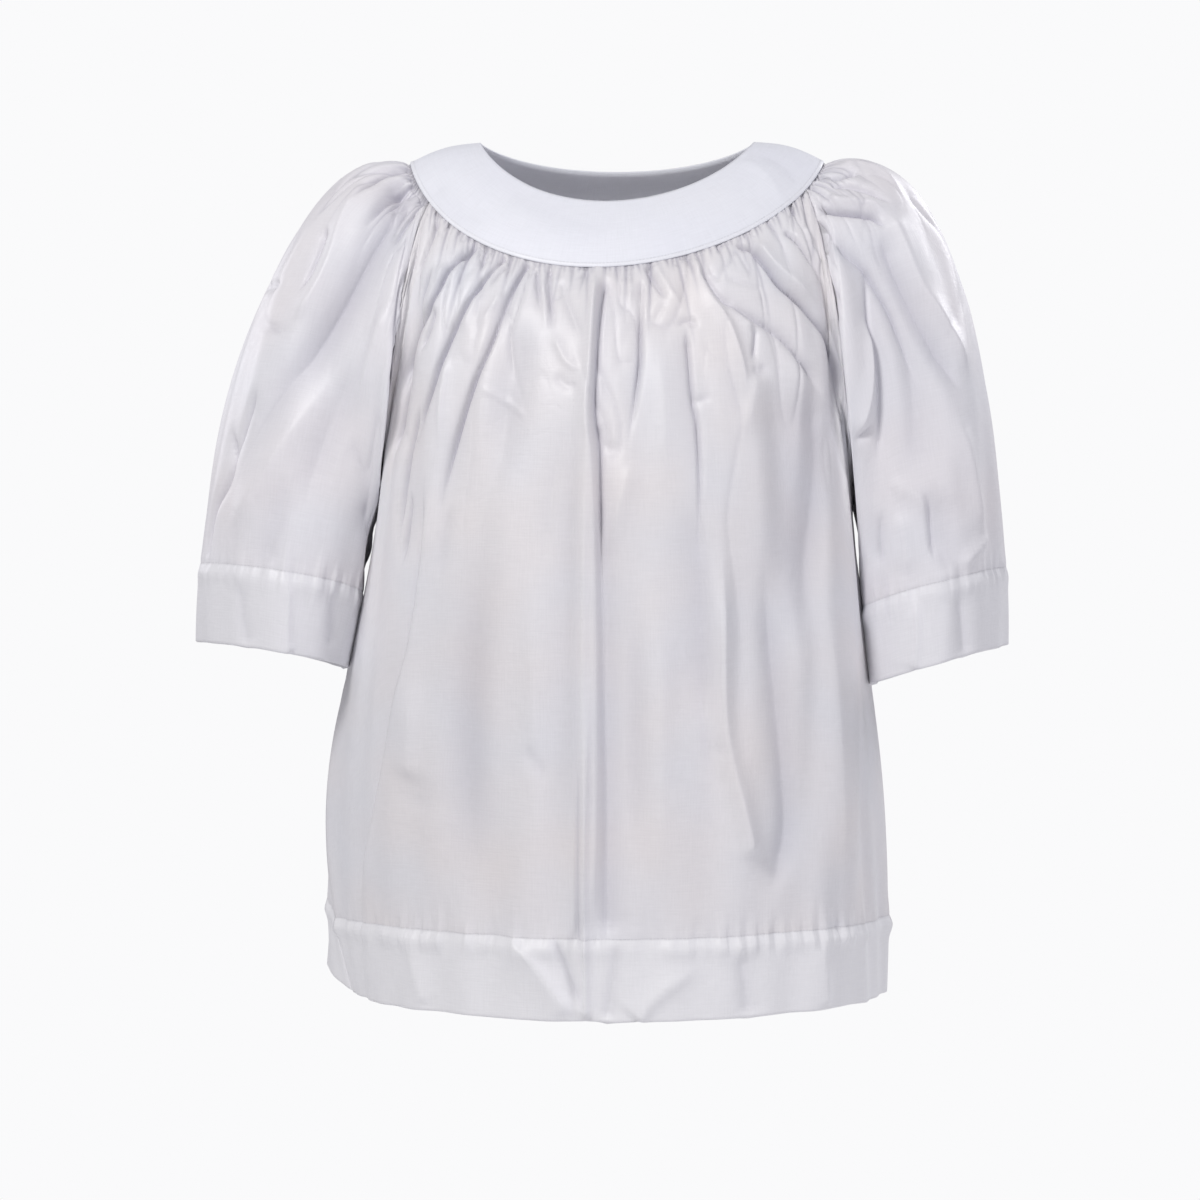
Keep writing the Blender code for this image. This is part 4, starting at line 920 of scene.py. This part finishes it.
def clothMesh(name, outer, inner, across, above, paintedShade, closed):
    # one closed shell: the outside, a rounded lower edge, the inside and the upper edge
    rows, columns = outer.shape[:2]
    kept = sorted(set(range(rows - 1, -1, -grid["insideEvery"])) | {0}, reverse=True)
    down = unit(outer[-1] - outer[-2])
    wall = np.linalg.norm(outer[-1] - inner[-1], axis=1)[:, None]
    rim = (outer[-1] + inner[-1]) / 2 + down * wall * hemRound
    places = np.concatenate([outer, rim[None], inner[kept]]).reshape(-1, 3)
    line = np.concatenate([above, above[-1:], above[kept]])
    shadeAmount = np.concatenate([paintedShade, paintedShade[-1:], paintedShade[kept]])
    total = len(line)
    i, j = np.meshgrid(np.arange(total), np.arange(columns if closed else columns - 1),
                       indexing="ij")
    nextI, nextJ = (i + 1) % total, (j + 1) % columns
    quads = np.stack([i * columns + j, nextI * columns + j, nextI * columns + nextJ,
                      i * columns + nextJ], axis=-1).reshape(-1, 4)
    width = across[-1] + across[1] - across[0]
    u0, u1 = across[j], np.where(j + 1 < columns, across[nextJ], width)
    v0, v1 = line[i, j], line[nextI, nextJ]
    uvs = np.stack([np.stack(corner, -1) for corner in ((u0, v0), (u0, v1), (u1, v1), (u1, v0))],
                   axis=2).reshape(-1, 2)
    faces = quads.tolist()
    if not closed:
        caps, capUvs = sideCaps(kept, rows, columns, across, above)
        faces += caps
        uvs = np.concatenate([uvs, capUvs])
    mesh = bpy.data.meshes.new(name)
    mesh.from_pydata(places.tolist(), [], faces)
    mesh.uv_layers.new(name="cloth").uv.foreach_set("vector", uvs.astype(np.float32).ravel())
    # the painted shade of folds, gathers, ripples and the hem groove, for the material
    mesh.attributes.new("paintedShade", "FLOAT", "POINT").data.foreach_set(
        "value", shadeAmount.astype(np.float32).ravel())
    mesh.update()
    mesh.calc_loop_triangles()
    corners = np.empty(len(mesh.loop_triangles) * 3, np.int32)
    mesh.loop_triangles.foreach_get("vertices", corners)
    a, b, c = (places[corners.reshape(-1, 3)[:, k]] for k in range(3))
    if np.sum(a * np.cross(b, c)) < 0:
        mesh.flip_normals()
    mesh.shade_smooth()
    return addObject(name, mesh)


def addObject(name, data):
    obj = bpy.data.objects.new(name, data)
    bpy.context.scene.collection.objects.link(obj)
    return obj


def linear(hexColour):
    # an sRGB hex colour as linear values
    channels = [int(hexColour[k:k + 2], 16) / 255 for k in (1, 3, 5)]
    return tuple(c / 12.92 if c <= 0.04045 else ((c + 0.055) / 1.055) ** 2.4
                 for c in channels) + (1.0,)


def addNode(tree, kind, settings=None, values=None, links=None):
    # one node, with its settings, the values of its sockets and the links into them
    node = tree.nodes.new(kind)
    for name, value in (settings or {}).items():
        setattr(node, name, value)
    for name, value in (values or {}).items():
        node.inputs[name].default_value = value
    for name, source in (links or {}).items():
        tree.links.new(source, node.inputs[name])
    return node


# White poly-cotton poplin: close, fine, plain-woven and pressed, so its ridges shine a little. Its
# valleys are given a painted shade of cool lavender grey. Its real threads are about 0.25 mm
# apart, too fine to show, so the weave is drawn as slubs about 1.2 mm apart.
poplin = {
    # the doubled colours: cloth of two layers, drawn lighter at the hem partly as painted light
    "yoke": {"colour": "#F3F5FB", "other": "#EFF1FA", "doubledAndLit": "#F3F5FB"},
    "body": {"colour": "#E8EAF0", "other": "#EFEAEA", "doubledAndLit": "#F2F2F5"},
    "sleeve": {"colour": "#E9EBF1", "other": "#EDE9EC", "doubledAndLit": "#EDEDF1"},
    "patch": 0.085,            # size of the patches of the other colour
    "slub": 0.0012,            # spacing of the drawn slubs
    "slubLong": 0.018,
    "slubDeep": 0.00006,
    "slubDark": 0.05,
    "slubRough": 0.16,
    "crumple": 0.016,          # size of the small soft creases left after pressing
    "crumpleDeep": 0.00032,
    "crumpleBend": 0.6,
    "stitch": 0.0028,          # length of one stitch and its gap
    "stitchShare": 0.72,       # how much of that is thread
    "stitchWide": 0.0007,
    "stitchDeep": 0.00025,
    "stitchDark": 0.05,
    "bright": 0.99,
    # painted shade colour, towards which fold valleys, creases and the hem groove are darkened
    "paintedShade": "#9F9DAE",       # at the bottom of a sharp fold
    "roughness": 0.47,
    "shader": {"Specular IOR Level": 0.5, "Sheen Weight": 0.15, "Sheen Roughness": 0.4},
}


def poplinMaterial(name, kind):
    material = bpy.data.materials.new(name)
    material.use_nodes = True
    tree = material.node_tree
    shader = tree.nodes["Principled BSDF"]
    own = poplin[kind]
    uv = addNode(tree, "ShaderNodeUVMap", {"uv_map": "cloth"}).outputs["UV"]
    axes = addNode(tree, "ShaderNodeSeparateXYZ", links={0: uv})
    across, above = axes.outputs["X"], axes.outputs["Y"]

    def noise(place, values):
        return addNode(tree, "ShaderNodeTexNoise", {"noise_dimensions": "2D"}, values,
                       {"Vector": place}).outputs["Fac"]

    def slubs(scale):
        place = addNode(tree, "ShaderNodeMapping", values={"Scale": scale}, links={"Vector": uv})
        return noise(place.outputs["Vector"], {"Scale": 1.0, "Detail": 1.0, "Roughness": 0.5})

    def mix(share, first, second, blend="MIX"):
        # sockets and colours are told apart by their kind
        values, links = {}, {}
        for socket, value in ((0, share), (6, first), (7, second)):
            (values if isinstance(value, (float, tuple)) else links)[socket] = value
        return addNode(tree, "ShaderNodeMix", {"data_type": "RGBA", "blend_type": blend},
                       values, links).outputs[2]

    def maths(operation, *inputs):
        values, links = {}, {}
        for socket, value in enumerate(inputs):
            (values if isinstance(value, (int, float)) else links)[socket] = value
        return addNode(tree, "ShaderNodeMath", {"operation": operation}, values, links).outputs[0]

    warp = slubs((1 / poplin["slub"], 1 / poplin["slubLong"], 1.0))
    weft = slubs((1 / poplin["slubLong"], 1 / poplin["slub"], 1.0))
    weave = maths("ADD", warp, weft)
    offEven = maths("SUBTRACT", weave, 1.0)
    crumple = noise(uv, {"Scale": 1 / poplin["crumple"], "Detail": 3.0, "Roughness": 0.45,
                         "Distortion": poplin["crumpleBend"]})

    # the row of stitches that holds the hem, or the edge of the yoke
    line = cloth["yokeStitch"] if kind == "yoke" else cloth["hemDepth"]
    off = maths("ABSOLUTE", maths("SUBTRACT", above, line))
    onLine = maths("LESS_THAN", off, poplin["stitchWide"] / 2)
    share = maths("FRACT", maths("DIVIDE", across, poplin["stitch"]))
    stitches = maths("MULTIPLY", onLine, maths("LESS_THAN", share, poplin["stitchShare"]))
    doubledAndLit = maths("LESS_THAN", above, line)

    # one layer lets a little of what is under it show, in broad soft patches
    patch = noise(uv, {"Scale": 1 / poplin["patch"], "Detail": 1.0})
    single = mix(patch, linear(own["colour"]), linear(own["other"]))
    # the hem band is drawn lighter: partly its two layers of cloth, partly painted light that
    # offsets the dimmer light low on the garment
    plain = mix(doubledAndLit, single, linear(own["doubledAndLit"]))
    shade = maths("MULTIPLY_ADD", offEven, poplin["slubDark"], poplin["bright"])
    shade = maths("SUBTRACT", shade, maths("MULTIPLY", stitches, poplin["stitchDark"]))
    grey = addNode(tree, "ShaderNodeCombineColor",
                   links={"Red": shade, "Green": shade, "Blue": shade})
    tint = mix(1.0, plain, grey.outputs[0], "MULTIPLY")
    # painted shade: a fold's valleys and creases are darkened towards a lavender grey, standing in
    # for the light that goes from one side of a fold to the other and dies away
    paintedShade = addNode(tree, "ShaderNodeAttribute", {"attribute_name": "paintedShade"}).outputs["Fac"]
    tree.links.new(mix(paintedShade, tint, linear(poplin["paintedShade"])), shader.inputs["Base Color"])

    # heights in metres, straight into one bump
    relief = maths("MULTIPLY", weave, poplin["slubDeep"])
    relief = maths("MULTIPLY_ADD", crumple, poplin["crumpleDeep"], relief)
    relief = maths("SUBTRACT", relief, maths("MULTIPLY", stitches, poplin["stitchDeep"]))
    bump = addNode(tree, "ShaderNodeBump", values={"Strength": 1.0, "Distance": 1.0},
                   links={"Height": relief})
    tree.links.new(bump.outputs["Normal"], shader.inputs["Normal"])
    rough = maths("MULTIPLY_ADD", offEven, poplin["slubRough"], poplin["roughness"])
    tree.links.new(rough, shader.inputs["Roughness"])
    for socket, value in poplin["shader"].items():
        shader.inputs[socket].default_value = value
    return material


# Each sewn piece: its smooth cloth, the node it stands for, its flat cut in metres and square
# metres, and what it hangs from.
pieces = {
    "yokeFront": {"cloth": yokeHalf(front), "node": "yoke_front", "flat": (0.330, 0.170),
                  "area": 0.0225, "held": "laid", "on": ["yokeBack"]},
    "yokeBack": {"cloth": yokeHalf(back), "node": "yoke_back", "flat": (0.330, 0.160),
                 "area": 0.0225, "held": "laid", "on": ["yokeFront"]},
    "bodyFront": {"cloth": bodyPanel(front, 0), "node": "body_front", "flat": (0.640, 0.640),
                  "area": 0.345, "held": "gathered", "on": ["yokeFront"]},
    "bodyBack": {"cloth": bodyPanel(back, 7), "node": "body_back", "flat": (0.640, 0.660),
                 "area": 0.355, "held": "gathered", "on": ["yokeBack"]},
    "sleeveLeft": {"cloth": sleeveTube(left, 3), "node": "sleeve_left", "flat": (0.540, 0.440),
                   "area": 0.185, "held": "gathered", "on": ["yokeFront", "yokeBack"]},
    "sleeveRight": {"cloth": sleeveTube(right, 9), "node": "sleeve_right",
                    "flat": (0.520, 0.440), "area": 0.180, "held": "gathered",
                    "on": ["yokeFront", "yokeBack"]},
}
print("smooth cloth laid out")


def makePiece(name, own):
    piece = own["cloth"]
    if piece["kind"] == "yoke":
        height, paintedShade, across = yokeHeight(name, piece)
        wall = np.full(height.shape, cloth["yokeWall"])
    else:
        height, paintedShade, across = pieceHeight(name, piece)
        share = smoothStep(cloth["hemDepth"] - piece["aboveFold"], -cloth["hemEdge"],
                           cloth["hemEdge"])
        wall = cloth["wall"] + (cloth["hemWall"] - cloth["wall"]) * share
    outer = piece["points"] + piece["normals"] * height[..., None]
    depth = innerHeight(height) - wall
    inner = piece["points"] + piece["normals"] * depth[..., None]
    obj = clothMesh(name, outer, inner, across, piece["aboveFold"], paintedShade, piece["closed"])
    obj.data.materials.append(poplinMaterial(own["node"] + "_poplin", piece["kind"]))
    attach(obj, "root")
    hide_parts(own["node"])
    print("made", name, len(obj.data.polygons))
    return obj


objects = {name: makePiece(name, own) for name, own in pieces.items()}

# The floor lies as far below as the wearer's feet would stand.
studio = {"floor": -1.40, "floorSize": 3.8, "floorColour": "#F2F2F3", "floorRough": 0.8,
          "sky": "#F0EFF4", "skyStrength": 0.39, "backdrop": "#FAFAFB"}


def makeFloor():
    bpy.ops.mesh.primitive_circle_add(vertices=96, radius=studio["floorSize"] / 2,
                                      fill_type="NGON", location=(0, 0, 0))
    floor = bpy.context.object
    floor.name = "floor"
    floor.data.transform(mathutils.Matrix.Translation((0, 0, studio["floor"])))
    paint = bpy.data.materials.new("matt_white_paint")      # a painted studio floor
    paint.use_nodes = True
    shader = paint.node_tree.nodes["Principled BSDF"]
    shader.inputs["Base Color"].default_value = linear(studio["floorColour"])
    shader.inputs["Roughness"].default_value = studio["floorRough"]
    floor.data.materials.append(paint)


def makeSky():
    # the sky lights the cloth, and a paler backdrop is seen behind it
    world = bpy.data.worlds.new("studio")
    world.use_nodes = True
    tree = world.node_tree
    sky = tree.nodes["Background"]
    sky.inputs["Color"].default_value = linear(studio["sky"])
    sky.inputs["Strength"].default_value = studio["skyStrength"]
    backdrop = addNode(tree, "ShaderNodeBackground", values={"Color": linear(studio["backdrop"])})
    seen = addNode(tree, "ShaderNodeLightPath").outputs["Is Camera Ray"]
    mixed = addNode(tree, "ShaderNodeMixShader",
                    links={0: seen, 1: sky.outputs[0], 2: backdrop.outputs[0]})
    tree.links.new(mixed.outputs[0], tree.nodes["World Output"].inputs["Surface"])
    bpy.context.scene.view_settings.view_transform = "Standard"
    bpy.context.scene.world = world


# name, place, what it is aimed at, size, power, colour
lights = (
    ("key", (-1.25, -2.2, 1.6), (0, 0, -0.38), 0.7, 51, "#FFFDFC"),
    ("fill", (2.2, -1.6, 0.0), (0, 0, -0.4), 1.2, 15, "#F6F4FA"),
    ("rear", (2.0, 2.0, 1.0), (0, 0, -0.35), 1.3, 34, "#FCFCFF"),
    ("rearFill", (-2.0, 1.8, 0.4), (0, 0, -0.4), 1.2, 12, "#F6F4FA"),
)


def addLight(name, place, target, size, power, colour):
    data = bpy.data.lights.new(name, "AREA")
    data.shape = "DISK"
    data.size = size
    data.energy = power
    data.color = linear(colour)[:3]
    obj = addObject(name, data)
    obj.location = place
    x, y, z = (end - start for start, end in zip(place, target))
    obj.rotation_euler = (math.atan2(math.hypot(x, y), -z), 0.0, math.atan2(-x, y))


view = {"target": (-0.0136, 0.0, -0.348), "away": 2.4, "up": math.radians(4), "lens": 90.0,
        "sensor": 36.0}


def makeCamera():
    data = bpy.data.cameras.new("camera")
    data.sensor_fit = "HORIZONTAL"
    data.sensor_width = view["sensor"]
    data.lens = view["lens"]
    camera = addObject("camera", data)
    x, y, z = view["target"]
    camera.location = (x, y - view["away"] * math.cos(view["up"]),
                       z + view["away"] * math.sin(view["up"]))
    camera.rotation_euler = (math.pi / 2 - view["up"], 0.0, 0.0)
    bpy.context.scene.camera = camera


makeFloor()
makeSky()
for light in lights:
    addLight(*light)
makeCamera()
print("floor, lights and camera set")
